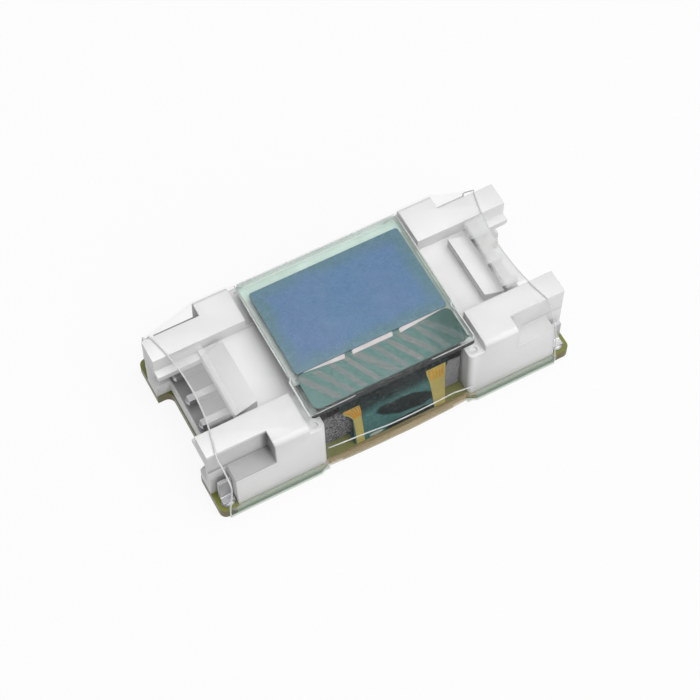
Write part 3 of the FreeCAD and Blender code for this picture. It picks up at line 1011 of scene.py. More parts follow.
def swept_tube(name: str, path: Sequence[Point], radius: float,
               material: bpy.types.Material) -> bpy.types.Object:
    """Return a thin bead that follows a path.

    Args:
        name: the object's name.
        path: points of the middle line, in millimetres.
        radius: the bead's radius.
        material: its material.

    Returns:
        The bead, closed at its ends.
    """
    curve = bpy.data.curves.new(name, "CURVE")
    curve.dimensions = "3D"
    curve.bevel_depth = radius * MM
    curve.bevel_resolution = 1
    curve.use_fill_caps = True
    spline = curve.splines.new("POLY")
    spline.points.add(len(path) - 1)
    for point, p in zip(spline.points, path):
        point.co = (p[0] * MM, p[1] * MM, p[2] * MM, 1.0)
    line = linked(name + "_line", curve)
    mesh = plain_mesh(line)
    bpy.data.objects.remove(line)
    mesh.name = name
    dress(mesh, material)
    shade(mesh, True)
    return outward(linked(name, mesh))


def joined(name: str, objects: Sequence[bpy.types.Object]) -> bpy.types.Object:
    """Join several objects into one mesh and return it.

    Args:
        name: the object's name.
        objects: the objects, which are used up.

    Returns:
        The new object.
    """
    bm = bmesh.new()
    materials: list[bpy.types.Material] = []
    for obj in objects:
        start = len(bm.faces)
        bm.from_mesh(obj.data)
        bm.faces.ensure_lookup_table()
        own = list(obj.data.materials)
        for material in own:
            if material not in materials:
                materials.append(material)
        for face in bm.faces[start:]:
            face.material_index = materials.index(own[face.material_index]) if own else 0
    mesh = bpy.data.meshes.new(name)
    bm.to_mesh(mesh)
    bm.free()
    for material in materials:
        mesh.materials.append(material)
    for obj in objects:
        bpy.data.objects.remove(obj)
    return linked(name, mesh)


# ------------------------------------------------------------- geometry nodes


class Weave(Tree):
    """A Geometry Nodes tree."""

    def __init__(self, name: str, **inputs: float) -> None:
        """Make an empty tree.

        Args:
            name: the tree's name.
            inputs: first values of its named inputs, with spaces as underscores.
        """
        super().__init__(bpy.data.node_groups.new(name, "GeometryNodeTree"))
        face = self.tree.interface
        face.new_socket("Geometry", in_out="INPUT", socket_type="NodeSocketGeometry")
        for label, value in inputs.items():
            kind = "NodeSocketInt" if isinstance(value, int) else "NodeSocketFloat"
            face.new_socket(label.replace("_", " "), in_out="INPUT", socket_type=kind).default_value = value
        face.new_socket("Geometry", in_out="OUTPUT", socket_type="NodeSocketGeometry")
        self.values = self.tree.nodes.new("NodeGroupInput").outputs
        self.result = self.tree.nodes.new("NodeGroupOutput")

    def xyz(self, **parts: object) -> bpy.types.NodeSocket:
        """Return a vector from its parts."""
        return self.add("ShaderNodeCombineXYZ", **parts).outputs[0]

    def random(self, low: float, high: float, seed: int) -> bpy.types.NodeSocket:
        """Return a random value between two, with a fixed seed."""
        node = self.add("FunctionNodeRandomValue", {"data_type": "FLOAT"}, Seed=seed)
        return self.numbered(node, {2: low, 3: high}).outputs[1]

    def close(self, geometry: bpy.types.NodeSocket, material: bpy.types.Material) -> bpy.types.NodeTree:
        """End the tree with realised instances and a material, and return it.

        Args:
            geometry: what the tree has built.
            material: the material of all of it.

        Returns:
            The finished tree.
        """
        real = self.add("GeometryNodeRealizeInstances", Geometry=geometry)
        dressed = self.add("GeometryNodeSetMaterial", Geometry=real.outputs[0], Material=material)
        self.feed(self.result.inputs["Geometry"], dressed.outputs[0])
        return self.tree


def grown_by(tree: bpy.types.NodeTree, obj: bpy.types.Object, values: dict[str, object]) -> bpy.types.Object:
    """Run a Geometry Nodes tree on an object and keep the plain mesh.

    Args:
        tree: the tree.
        obj: the object, changed in place.
        values: values of the tree's named inputs.

    Returns:
        The object.
    """
    modifier = obj.modifiers.new(tree.name, "NODES")
    modifier.node_group = tree
    identifiers = {item.name: item.identifier for item in tree.interface.items_tree
                   if item.item_type == "SOCKET" and item.in_out == "INPUT"}
    for label, value in values.items():
        modifier[identifiers[label]] = value
    return baked(obj)


def stripe_tree(material: bpy.types.Material) -> bpy.types.NodeTree:
    """Return the tree that lays slanted stripes side by side on a plate.

    Args:
        material: the stripes' material.

    Returns:
        The finished tree.
    """
    w = Weave("slanted_stripes", Count=10, Pitch=0.001, Width=0.0004, Reach=0.002, Slant=0.6,
              Thickness=0.00001)
    value = w.values
    size = w.xyz(X=value["Width"], Y=value["Reach"], Z=value["Thickness"])
    bar = w.add("GeometryNodeMeshCube", Size=size, Vertices_X=2, Vertices_Y=9, Vertices_Z=2)
    parts = w.add("ShaderNodeSeparateXYZ", Vector=w.add("GeometryNodeInputPosition").outputs[0])
    lean = w.product(parts.outputs["Y"], value["Slant"], -1.0)
    leaned = w.add("GeometryNodeSetPosition", Geometry=bar.outputs["Mesh"], Offset=w.xyz(X=lean))
    row = w.add("GeometryNodeMeshLine", Count=value["Count"], Offset=w.xyz(X=value["Pitch"]))
    laid = w.add("GeometryNodeInstanceOnPoints", Points=row.outputs["Mesh"], Instance=leaned.outputs[0],
                 Scale=w.xyz(X=w.random(0.7, 1.15, 7), Y=1.0, Z=1.0))
    return w.close(laid.outputs[0], material)


def fan_tree(material: bpy.types.Material) -> bpy.types.NodeTree:
    """Return the tree that draws a fan of tracks, spread at the top and close below.

    Args:
        material: the tracks' material.

    Returns:
        The finished tree.
    """
    w = Weave("track_fan", Count=5, Top_Pitch=0.0003, Foot_Pitch=0.00015, Height=0.001, Lean=0.0,
              Width=0.0001, Thickness=0.00002)
    value = w.values
    line = w.add("GeometryNodeCurveQuadraticBezier", Resolution=12,
                 Start=w.xyz(X=value["Lean"], Z=value["Height"]),
                 Middle=w.xyz(Z=w.product(value["Height"], 0.45)), End=(0.0, 0.0, 0.0))
    copies = w.add("GeometryNodeDuplicateElements", {"domain": "SPLINE"}, Geometry=line.outputs[0],
                   Amount=value["Count"])
    eased = w.math("POWER", w.add("GeometryNodeSplineParameter").outputs["Factor"], 0.7)
    pitch = w.math("ADD", w.product(value["Top Pitch"], w.math("SUBTRACT", 1.0, eased)),
                   w.product(value["Foot Pitch"], eased))
    place = w.math("SUBTRACT", copies.outputs["Duplicate Index"],
                   w.math("DIVIDE", w.math("SUBTRACT", value["Count"], 1.0), 2.0))
    spread = w.add("GeometryNodeSetPosition", Geometry=copies.outputs["Geometry"],
                   Offset=w.xyz(X=w.product(pitch, place)))
    profile = w.add("GeometryNodeCurvePrimitiveQuadrilateral", Width=value["Thickness"],
                    Height=value["Width"])
    tracks = w.add("GeometryNodeCurveToMesh", Curve=spread.outputs[0], Profile_Curve=profile.outputs[0],
                   Fill_Caps=True)
    return w.close(tracks.outputs[0], material)


def via_tree(material: bpy.types.Material) -> bpy.types.NodeTree:
    """Return the tree that sets a raised ring on each point of a mesh.

    Args:
        material: the rings' material.

    Returns:
        The finished tree.
    """
    w = Weave("via_rings", Radius=0.0003, Height=0.00003)
    value = w.values
    ring = w.add("GeometryNodeCurvePrimitiveCircle", {"mode": "RADIUS"}, Resolution=14,
                 Radius=value["Radius"])
    band = w.add("GeometryNodeCurvePrimitiveQuadrilateral", Width=w.product(value["Radius"], 0.7),
                 Height=value["Height"])
    solid = w.add("GeometryNodeCurveToMesh", Curve=ring.outputs[0], Profile_Curve=band.outputs[0])
    laid = w.add("GeometryNodeInstanceOnPoints", Points=value["Geometry"], Instance=solid.outputs[0])
    return w.close(laid.outputs[0], material)


def grit_tree(material: bpy.types.Material) -> bpy.types.NodeTree:
    """Return the tree that scatters open cells' bright rims over a surface.

    Args:
        material: the grains' material.

    Returns:
        The finished tree.
    """
    w = Weave("foam_grit", Density=3.0e6, Size=0.00004)
    value = w.values
    spots = w.add("GeometryNodeDistributePointsOnFaces", Mesh=value["Geometry"], Density=value["Density"],
                  Seed=11)
    grain = w.add("GeometryNodeMeshIcoSphere", Radius=value["Size"], Subdivisions=1)
    laid = w.add("GeometryNodeInstanceOnPoints", Points=spots.outputs["Points"],
                 Instance=grain.outputs["Mesh"], Scale=w.random(0.4, 1.3, 3))
    return w.close(laid.outputs[0], material)


# --------------------------------------------------------------------- palette


@dataclass(frozen=True)
class Palette:
    """All finishes of the module, built once."""

    plastic: bpy.types.Material
    metal: bpy.types.Material
    solder: bpy.types.Material
    board: bpy.types.Material
    mask_tracks: bpy.types.Material
    front_glass: bpy.types.Material
    rear_glass: bpy.types.Material
    glass_edge: bpy.types.Material
    shaded_edge: bpy.types.Material
    seal: bpy.types.Material
    polariser: bpy.types.Material
    # painted highlight on the glass step in front of the polariser
    polariser_highlight: bpy.types.Material
    ledge: bpy.types.Material
    ledge_stripes: bpy.types.Material
    flex: bpy.types.Material
    amber: bpy.types.Material
    gold: bpy.types.Material
    foam: bpy.types.Material
    grit: bpy.types.Material
    film: bpy.types.Material
    low_film: bpy.types.Material
    waist_film: bpy.types.Material
    edge_and_highlight_film: bpy.types.Material
    silicon: bpy.types.Material
    chip: bpy.types.Material
    capacitor: bpy.types.Material
    resistor: bpy.types.Material


def make_palette(shared: SharedEffects) -> Palette:
    """Build every finish.

    Args:
        shared: the node groups that they use.

    Returns:
        The finished palette.
    """
    low, high = box_mm("polariser_film")
    looks: dict[str, Finish] = dict(
        plastic=PlasticFinish(),
        metal=DullFinish("tinned_metal", (0.58, 0.58, 0.585), (0.44, 0.44, 0.45), 0.42, 0.55, 900.0,
                         5000.0, 0.0000006, 1.0, (0.4, 2.0, 1.0)),
        solder=DullFinish("solder", (0.46, 0.46, 0.465), (0.36, 0.36, 0.37), 0.42, 0.55, 1500.0,
                          4000.0, 0.000001, 1.0),
        board=BoardFinish(),
        mask_tracks=DullFinish("tracks_under_mask", (0.42, 0.44, 0.07), (0.30, 0.33, 0.04), 0.25, 0.4, 700.0),
        front_glass=ClearFinish("panel_glass", tint=(0.95, 0.985, 0.97), haze=0.015, cloud=0.015,
                                haze_colour=(0.5, 0.56, 0.53), index=1.5, roughness=0.02, gloss=0.45,
                                ripple=0.000002),
        rear_glass=DullFinish("rear_glass_with_getter", (0.10, 0.14, 0.14), (0.06, 0.09, 0.09), 0.05, 0.15),
        glass_edge=ClearFinish("ground_glass_edge", tint=(0.80, 0.88, 0.84), haze=0.35, cloud=0.3,
                               haze_colour=(0.42, 0.46, 0.44), index=1.5, roughness=0.25, gloss=0.5),
        shaded_edge=DullFinish("shaded_glass_edge", (0.006, 0.008, 0.008), (0.018, 0.022, 0.022), 0.2, 0.35,
                               1500.0, specular=0.04),
        seal=SealFinish(),
        polariser=PolariserFinish(high.x, low.y, high.y),
        # painted highlight on the glass step in front of the polariser
        polariser_highlight=DullFinish("polariser_front_highlight", (0.56, 0.51, 0.51), (0.44, 0.40, 0.40), 0.3, 0.5,
                                  900.0),
        ledge=LedgeFinish(),
        ledge_stripes=LedgeFinish("ledge_grey_lines", (0.150, 0.165, 0.163), (0.112, 0.152, 0.146),
                                  (0.04, 0.08, 0.072)),
        flex=FlexFinish(),
        amber=DullFinish("amber_strip", (0.36, 0.30, 0.085), (0.27, 0.225, 0.065), 0.35, 0.5, 600.0,
                         specular=0.1),
        gold=DullFinish("gold_tracks", (0.52, 0.25, 0.004), (0.36, 0.15, 0.003), 0.3, 0.45, 1200.0,
                        specular=0.1),
        foam=FoamFinish(),
        grit=DullFinish("foam_cell_rims", (0.34, 0.34, 0.35), (0.12, 0.12, 0.13), 0.5, 0.8, 4000.0),
        film=ClearFinish("sleeve_film", haze=0.003, cloud=0.012, ripple=0.00002, ripple_scale=350.0,
                         roughness=0.05, gloss=0.22, attribute="fold"),
        low_film=ClearFinish("sleeve_film_at_board", tint=(0.85, 0.88, 0.85), haze=0.03, cloud=0.06,
                             haze_colour=(0.5, 0.53, 0.5), gloss=0.15),
        waist_film=ClearFinish("sleeve_film_at_waist", tint=(0.93, 0.90, 0.84), haze=0.42, cloud=0.25,
                               haze_colour=(0.42, 0.35, 0.20), gloss=0.1),
        # hazy white film for the cut edges, which is partly painted highlight, and for the fold tubes, which
        # are painted highlight
        edge_and_highlight_film=ClearFinish("sleeve_edge_and_highlight_film", haze=0.5, cloud=0.3, haze_colour=(0.72, 0.73, 0.73),
                              cloud_scale=1500.0, roughness=0.15, gloss=0.6),
        silicon=DullFinish("bare_silicon", (0.05, 0.055, 0.065), (0.03, 0.03, 0.04), 0.08, 0.2),
        chip=DullFinish("chip_resin", (0.035, 0.035, 0.036), (0.022, 0.022, 0.023), 0.45, 0.65),
        capacitor=DullFinish("capacitor_tan", (0.42, 0.30, 0.19), (0.34, 0.24, 0.15), 0.4, 0.55),
        resistor=DullFinish("resistor_black", (0.03, 0.03, 0.035), (0.02, 0.02, 0.022), 0.3, 0.5),
    )
    return Palette(**{name: look.build(shared) for name, look in looks.items()})


# ------------------------------------------------------------- the sub-assemblies


@dataclass
class SmallParts:
    """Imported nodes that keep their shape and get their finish."""

    palette: Palette

    def dress(self) -> None:
        """Give each carried-over node its material."""
        p = self.palette
        finishes = {"contact_pin": p.metal, "solder_tab": p.metal, "capacitor": p.capacitor,
                    "resistor": p.resistor, "voltage_regulator": p.chip, "display_driver_chip": p.silicon,
                    "circuit_board": p.board, "polariser_film": p.polariser,
                    "display_rear_glass": p.rear_glass}
        for node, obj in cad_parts.items():
            for word, material in finishes.items():
                if word in node:
                    dress(obj.data, material)
                    log.info("%-28s dressed with %s", node, material.name)


@dataclass
class Socket:
    """One white cable socket with softened edges."""

    palette: Palette
    side: Side
    edge: float = 0.05

    def build(self) -> bpy.types.Object:
        """Make the housing and return it."""
        node = self.side.name.lower() + "_socket_housing"
        shell = copied_node(node, self.side.name.lower() + "_socket_shell", self.palette.plastic)
        soften(shell, self.edge)
        return place_piece(shell, Slot.PLASTIC, [node])


@dataclass
class BoardDetail:
    """Tracks and vias on the board's underside, and the solder on its joints."""

    palette: Palette
    track_rise: float = 0.02
    track_width: float = 0.28
    track_pitch: float = 0.62
    track_count: int = 9
    longest_run: float = 8.2
    run_taper: float = 0.9
    tail: float = 1.6
    tail_lean: float = 0.35
    via_radius: float = 0.2
    pin_drop: Point = (0.5, 0.42, 0.3)
    pin_drop_inset: float = 0.35
    tab_drop: Point = (0.55, 0.42, 0.22)
    tab_drop_inset: float = 0.42
    tab_drop_side: float = 5.78
    drop_rings: int = 5
    drop_sides: int = 16

    def build(self) -> list[bpy.types.Object]:
        """Make the details and return them."""
        low, high = box_mm("circuit_board")
        return [self.tracks(low.z), self.vias(low.z), self.solder_joints(high.z)]

    def runs(self) -> Row:
        """Return the place across the board and the half length of each track's straight run."""
        middle = (self.track_count - 1) / 2
        places = [(i - middle) * self.track_pitch for i in range(self.track_count)]
        return [(y, self.longest_run - abs(y) * self.run_taper) for y in places]

    def tracks(self, level: float) -> bpy.types.Object:
        """Return the raised tracks on the underside, in mirrored bends.

        Args:
            level: the height of the board's underside.

        Returns:
            The finished piece.
        """
        half, strips = self.track_width / 2, []
        for y, run in self.runs():
            end = run + self.tail
            path = [(-end, y * (1 + self.tail_lean)), (-run, y), (run, y), (end, y * (1 + self.tail_lean))]
            rows = [[(px, py + side * half, z) for z in (level, level - self.track_rise) for side in (-1, 1)]
                    for px, py in path]
            strips.append(ribbon("track", rows, self.palette.mask_tracks))
        return place_piece(outward(joined("board_tracks", strips)), Slot.BOARD)

    def vias(self, level: float) -> bpy.types.Object:
        """Return the rings of the plated holes at the tracks' ends.

        Args:
            level: the height of the board's underside.

        Returns:
            The finished piece.
        """
        spots = [(side * (run + self.tail), y * (1 + self.tail_lean), level - self.track_rise / 2)
                 for side in (-1, 1) for y, run in self.runs()]
        points = mesh_object("board_vias", spots, [], [self.palette.solder])
        rings = grown_by(via_tree(self.palette.solder), points,
                         {"Radius": self.via_radius * MM, "Height": 2 * self.track_rise * MM})
        return place_piece(outward(rings), Slot.METAL)

    def solder_joints(self, level: float) -> bpy.types.Object:
        """Return the solder on the feet of the pins and tabs.

        Args:
            level: the height of the board's top face.

        Returns:
            The finished piece.
        """
        drops = []
        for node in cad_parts:
            if "contact_pin" not in node and "solder_tab" not in node:
                continue
            low, high = box_mm(node)
            side = 1 if low.x > 0 else -1
            if "contact_pin" in node:
                inner = min(abs(low.x), abs(high.x)) + self.pin_drop_inset
                drops.append(self.drop((side * inner, (low.y + high.y) / 2), self.pin_drop, level))
            else:
                outer = max(abs(low.x), abs(high.x)) - self.tab_drop_inset
                front = 1 if low.y > 0 else -1
                drops.append(self.drop((side * outer, front * self.tab_drop_side), self.tab_drop, level))
        return place_piece(joined("solder_joints", drops), Slot.METAL)

    def drop(self, centre: tuple[float, float], reach: Point, level: float) -> bpy.types.Object:
        """Return one low mound of solder on the board.

        Args:
            centre: the drop's place on the board.
            reach: its half length, half width and height.
            level: the height of the board's top face.

        Returns:
            The new object.
        """
        rings, around = self.drop_rings, self.drop_sides
        points: list[Point] = []
        for ring in range(rings):
            angle = ring / rings * math.pi / 2
            spread = math.cos(angle) ** 0.7
            for i in range(around):
                turn = 2 * math.pi * i / around
                points.append((centre[0] + reach[0] * spread * math.cos(turn),
                               centre[1] + reach[1] * spread * math.sin(turn),
                               level + reach[2] * math.sin(angle) ** 1.5))
        points.append((*centre, level + reach[2]))
        faces: list[Sequence[int]] = [list(range(around))[::-1]]
        base = (rings - 1) * around
        for start in range(0, base, around):
            faces += band(start, start + around, around)
        faces += [(base + i, base + (i + 1) % around, len(points) - 1) for i in range(around)]
        return mesh_object("drop", points, faces, [self.palette.solder], smooth=True)


@dataclass
class Panel:
    """The glass of the display, with its seal, its ledge and strips of painted highlight along the
    polariser's front edge.
    """

    palette: Palette
    corner: float = 0.25
    chamfer: float = 0.07
    seal_thickness: float = 0.012
    lift: float = 0.004
    ledge_margin: float = 0.36
    front_margin: float = 0.24
    ledge_corner: float = 0.5
    ledge_thickness: float = 0.012
    stripe_count: int = 10
    stripe_pitch: float = 1.02
    stripe_width: float = 0.54
    stripe_slant: float = 0.67
    # strips of painted highlight on the glass step: thickness, then start, end, near and far depth of each
    highlight_thickness: float = 0.03
    highlight_lengths: tuple[tuple[float, ...], ...] = (
        (-5.1, -2.05, 0.02, 0.34), (-1.6, 1.45, 0.30, 0.32), (1.85, 5.2, 0.34, 0.05))

    def build(self) -> list[bpy.types.Object]:
        """Make the panel's pieces and return them."""
        low, high = box_mm("display_front_glass")
        film_low, _ = box_mm("polariser_film")
        return [self.front_glass(low, high), self.seal(low, high), self.ledge(low, high, film_low.y),
                self.stripes(low, high, film_low.y), self.front_highlight_strips(film_low)]

    def front_glass(self, low: Vector, high: Vector) -> bpy.types.Object:
        """Return the front glass, with its ground edges.

        Args:
            low: the front glass's low corner.
            high: the front glass's high corner.

        Returns:
            The finished piece.
        """
        def outline(inset: float) -> Row:
            return rounded_outline(high.x - low.x - 2 * inset, high.y - low.y - 2 * inset,
                                   max(self.corner - inset, 0.05), (low.y + high.y) / 2)
        bottom = low.z + self.seal_thickness
        levels = [(self.chamfer, bottom), (0.0, bottom + self.chamfer), (0.0, high.z - self.chamfer),
                  (self.chamfer, high.z)]
        glass = layered_plate("front_glass_sheet", outline, levels,
                              [self.palette.front_glass, self.palette.glass_edge, self.palette.shaded_edge],
                              rim_mark=1)
        for polygon in glass.data.polygons:
            _, y, z = polygon.center / MM
            if polygon.material_index == 1 and y < low.y + 0.1 and z < high.z:
                polygon.material_index = 2
        return place_piece(glass, Slot.GLASS, ["display_front_glass"])

    def seal(self, low: Vector, high: Vector) -> bpy.types.Object:
        """Return the frame of glue under the front glass.

        Args:
            low: the front glass's low corner.
            high: the front glass's high corner.

        Returns:
            The finished piece.
        """
        cap_low, cap_high = box_mm("display_rear_glass")
        film_low, film_high = box_mm("polariser_film")
        middle = (cap_low.y + cap_high.y) / 2
        depth = cap_high.y - cap_low.y
        outer = rounded_outline(high.x - low.x - 0.06, depth + 0.3, 0.2, middle)
        inner = rounded_outline(film_high.x - film_low.x - 0.6, depth - 1.7, 0.2, middle)
        bottom, top = low.z, low.z + self.seal_thickness * 0.9
        count = len(outer)
        points = [(x, y, z) for ring, z in ((outer, bottom), (inner, bottom), (inner, top), (outer, top))
                  for x, y in ring]
        faces = []
        for ring in range(4):
            faces += band((ring + 1) % 4 * count, ring * count, count)
        frame_piece = mesh_object("glass_seal_frame", points, faces, [self.palette.seal])
        return place_piece(outward(frame_piece), Slot.GLASS)

    def ledge(self, low: Vector, high: Vector, film_front: float) -> bpy.types.Object:
        """Return the teal coating on the front strip of the glass.

        Args:
            low: the front glass's low corner.
            high: the front glass's high corner.
            film_front: the polariser's front edge, along Y.

        Returns:
            The finished piece.
        """
        front, back = low.y + self.front_margin, film_front - 0.05
        width = high.x - low.x - 2 * self.ledge_margin

        def outline(inset: float) -> Row:
            return rounded_outline(width - 2 * inset, back - front - 2 * inset, self.ledge_corner - inset,
                                   (front + back) / 2)
        bottom = high.z + self.lift
        plate = layered_plate("ledge_coating", outline, [(0.0, bottom), (0.0, bottom + self.ledge_thickness)],
                              [self.palette.ledge])
        return place_piece(plate, Slot.GLASS)

    def stripes(self, low: Vector, high: Vector, film_front: float) -> bpy.types.Object:
        """Return the slanted lines of the drive tracks on the ledge.

        Args:
            low: the front glass's low corner.
            high: the front glass's high corner.
            film_front: the polariser's front edge, along Y.

        Returns:
            The finished piece.
        """
        front, back = low.y + self.front_margin + 0.12, film_front - 0.25
        seed = mesh_object("ledge_stripes", [(0.0, 0.0, 0.0)], [], [self.palette.ledge_stripes])
        piece = grown_by(stripe_tree(self.palette.ledge_stripes), seed, {
            "Count": self.stripe_count, "Pitch": self.stripe_pitch * MM, "Width": self.stripe_width * MM,
            "Reach": (back - front) * MM, "Slant": self.stripe_slant, "Thickness": self.ledge_thickness * MM})
        shift = Vector((-(self.stripe_count - 1) / 2 * self.stripe_pitch - 0.05, (front + back) / 2,
                        high.z + self.lift + self.ledge_thickness)) * MM
        piece.data.transform(Matrix.Translation(shift))
        return place_piece(outward(piece), Slot.GLASS)

    def front_highlight_strips(self, low: Vector) -> bpy.types.Object:
        """Return pale strips of painted highlight on the glass step along the front of the polariser, in
        three lengths.

        Args:
            low: the polariser's low corner.

        Returns:
            The finished piece.
        """
        top = low.z + self.highlight_thickness
        strips = []
        for start, end, near, far in self.highlight_lengths:
            outline = [(start, low.y - near), (end - 0.12, low.y - far), (end, low.y), (start + 0.1, low.y)]
            points = [(x, y, z) for z in (low.z, top) for x, y in outline]
            faces = [(3, 2, 1, 0), (4, 5, 6, 7)] + band(0, 4, 4)
            # each strip is a painted highlight on the glass step
            strips.append(mesh_object("glue", points, faces, [self.palette.polariser_highlight]))
        return place_piece(outward(joined("polariser_front_highlight", strips)), Slot.POLARISER)


@dataclass
class FlatCable:
    """The flat flexible cable with its amber edge strips and gold tracks."""

    palette: Palette
    lift: float = 0.012
    strip_thickness: float = 0.02
    foot_front: float = -6.031
    foot_level: float = 0.97
    slope: float = 0.1475
    bend: float = 0.45
    amber_rows: tuple[tuple[Point, ...], ...] = (
        ((-3.05, -2.45, 0.94), (-3.06, -2.48, 2.6), (-3.12, -2.52, 3.7), (-3.4, -2.56, 4.25),
         (-3.75, -2.62, 4.6), (-3.8, -2.7, 4.95)),
        ((2.8, 3.62, 0.94), (2.68, 3.66, 2.6), (2.58, 3.7, 3.7), (2.48, 3.74, 4.25), (2.38, 3.78, 4.7),
         (2.34, 3.8, 5.2)))
    fan_places: tuple[tuple[float, ...], ...] = ((-2.82, -0.36, 0.5, 3.8), (3.12, -0.06, 0.9, 3.95))
    fan_count: int = 5
    fan_pitch: float = 0.27
    fan_height: float = 1.15
    fan_track: float = 0.12

    def build(self) -> list[bpy.types.Object]:
        """Make the cable's pieces and return them."""
        face = copied_node("display_flex_cable", "flex_cable_body", self.palette.flex)
        for vertex in face.data.vertices:
            _, y, z = vertex.co / MM
            if z < self.foot_level + 0.8 and y < self.front(z) + 0.62 and self.outside_bend(y, z):
                vertex.co.y = self.front(z) * MM
        shade(face.data, False)
        body = place_piece(face, Slot.FLEX, ["display_flex_cable"])
        return [body, self.strips(), self.tracks()]

    def front(self, z: float) -> float:
        """Return where the front face of the cable is at a height, along Y."""
        return self.foot_front + self.slope * (z - self.foot_level)

    def outside_bend(self, y: float, z: float) -> bool:
        """Return whether a point is on the outer skin of the bend at the foot."""
        across, rise = y - self.foot_front, z - (self.foot_level - 0.05)
        return math.hypot(self.bend - across, self.bend - rise) > self.bend - 0.04

    def strips(self) -> bpy.types.Object:
        """Return the two amber strips, wider at the top."""
        pieces = []
        for places in self.amber_rows:
            rows = [[(x, self.front(z) - self.lift - depth, z) for depth in (0.0, self.strip_thickness)
                     for x in (left, right)] for left, right, z in places]
            pieces.append(ribbon("strip", rows, self.palette.amber))
        return place_piece(outward(joined("flex_amber_strips", pieces)), Slot.FLEX)

    def tracks(self) -> bpy.types.Object:
        """Return the fans of gold tracks at the top of the strips."""
        fans = []
        for middle, lean, width, foot in self.fan_places:
            seed = mesh_object("fan", [(0.0, 0.0, 0.0)], [], [self.palette.gold])
            fan = grown_by(fan_tree(self.palette.gold), seed, {
                "Count": self.fan_count, "Top Pitch": self.fan_pitch * MM,
                "Foot Pitch": width / (self.fan_count - 1) * 0.9 * MM, "Height": self.fan_height * MM,
                "Lean": lean * MM, "Width": self.fan_track * MM, "Thickness": self.strip_thickness * MM})
            for vertex in fan.data.vertices:
                x, y, z = vertex.co / MM
                forward = self.lift + self.strip_thickness
                vertex.co = Vector((x + middle, self.front(foot + z) + y - forward, z + foot)) * MM
            fans.append(fan)
        return place_piece(outward(joined("flex_gold_tracks", fans)), Slot.FLEX)


@dataclass
class Foam:
    """The grey foam block under the panel, with an open, grainy skin."""

    palette: Palette
    voxel: float = 0.15
    grain: float = 0.035
    grit_size: float = 0.028
    grit_density: float = 1.3e7
    skin_depth: float = 0.2
    skin_low: float = 1.1
    skin_high: float = 4.7

    def build(self) -> list[bpy.types.Object]:
        """Make the foam and its bright cell rims and return them."""
        block = copied_node("foam_spacer", "foam_block", self.palette.foam)
        remesh = block.modifiers.new("cells", "REMESH")
        remesh.mode = "VOXEL"
        remesh.voxel_size = self.voxel * MM
        baked(block)
        dress(block.data, self.palette.foam)
        self.roughen(block)
        shade(block.data, True)
        rims = self.rims(block)
        place_piece(block, Slot.FOAM, ["foam_spacer"])
        return [block, place_piece(rims, Slot.FOAM)]

    def roughen(self, block: bpy.types.Object) -> None:
        """Sink points of the skin by a fixed random amount.

        Args:
            block: the foam block, changed in place.
        """
        mesh = block.data
        normals = [v.normal.copy() for v in mesh.vertices]
        for vertex, normal in zip(mesh.vertices, normals):
            place = vertex.co / MM
            depth = 0.5 + 0.5 * noise.noise(place * 3.1) + 0.35 * noise.noise(place * 7.3)
            vertex.co -= normal * max(0.0, depth) * self.grain * MM

    def rims(self, block: bpy.types.Object) -> bpy.types.Object:
        """Return the bright rims scattered over the block's front.

        Args:
            block: the foam block.

        Returns:
            The finished piece.
        """
        low, _ = box_mm("foam_spacer")
        skin = linked("foam_cell_rims", block.data.copy())
        skin.data.name = "foam_cell_rims"
        with opened(skin.data) as bm:
            spots = [(f, f.calc_center_median() / MM) for f in bm.faces]
            away = [f for f, spot in spots
                    if spot.y > low.y + self.skin_depth or not self.skin_low < spot.z < self.skin_high]
            bmesh.ops.delete(bm, geom=away, context="FACES")
        dress(skin.data, self.palette.grit)
        return grown_by(grit_tree(self.palette.grit), skin,
                        {"Density": self.grit_density, "Size": self.grit_size * MM})


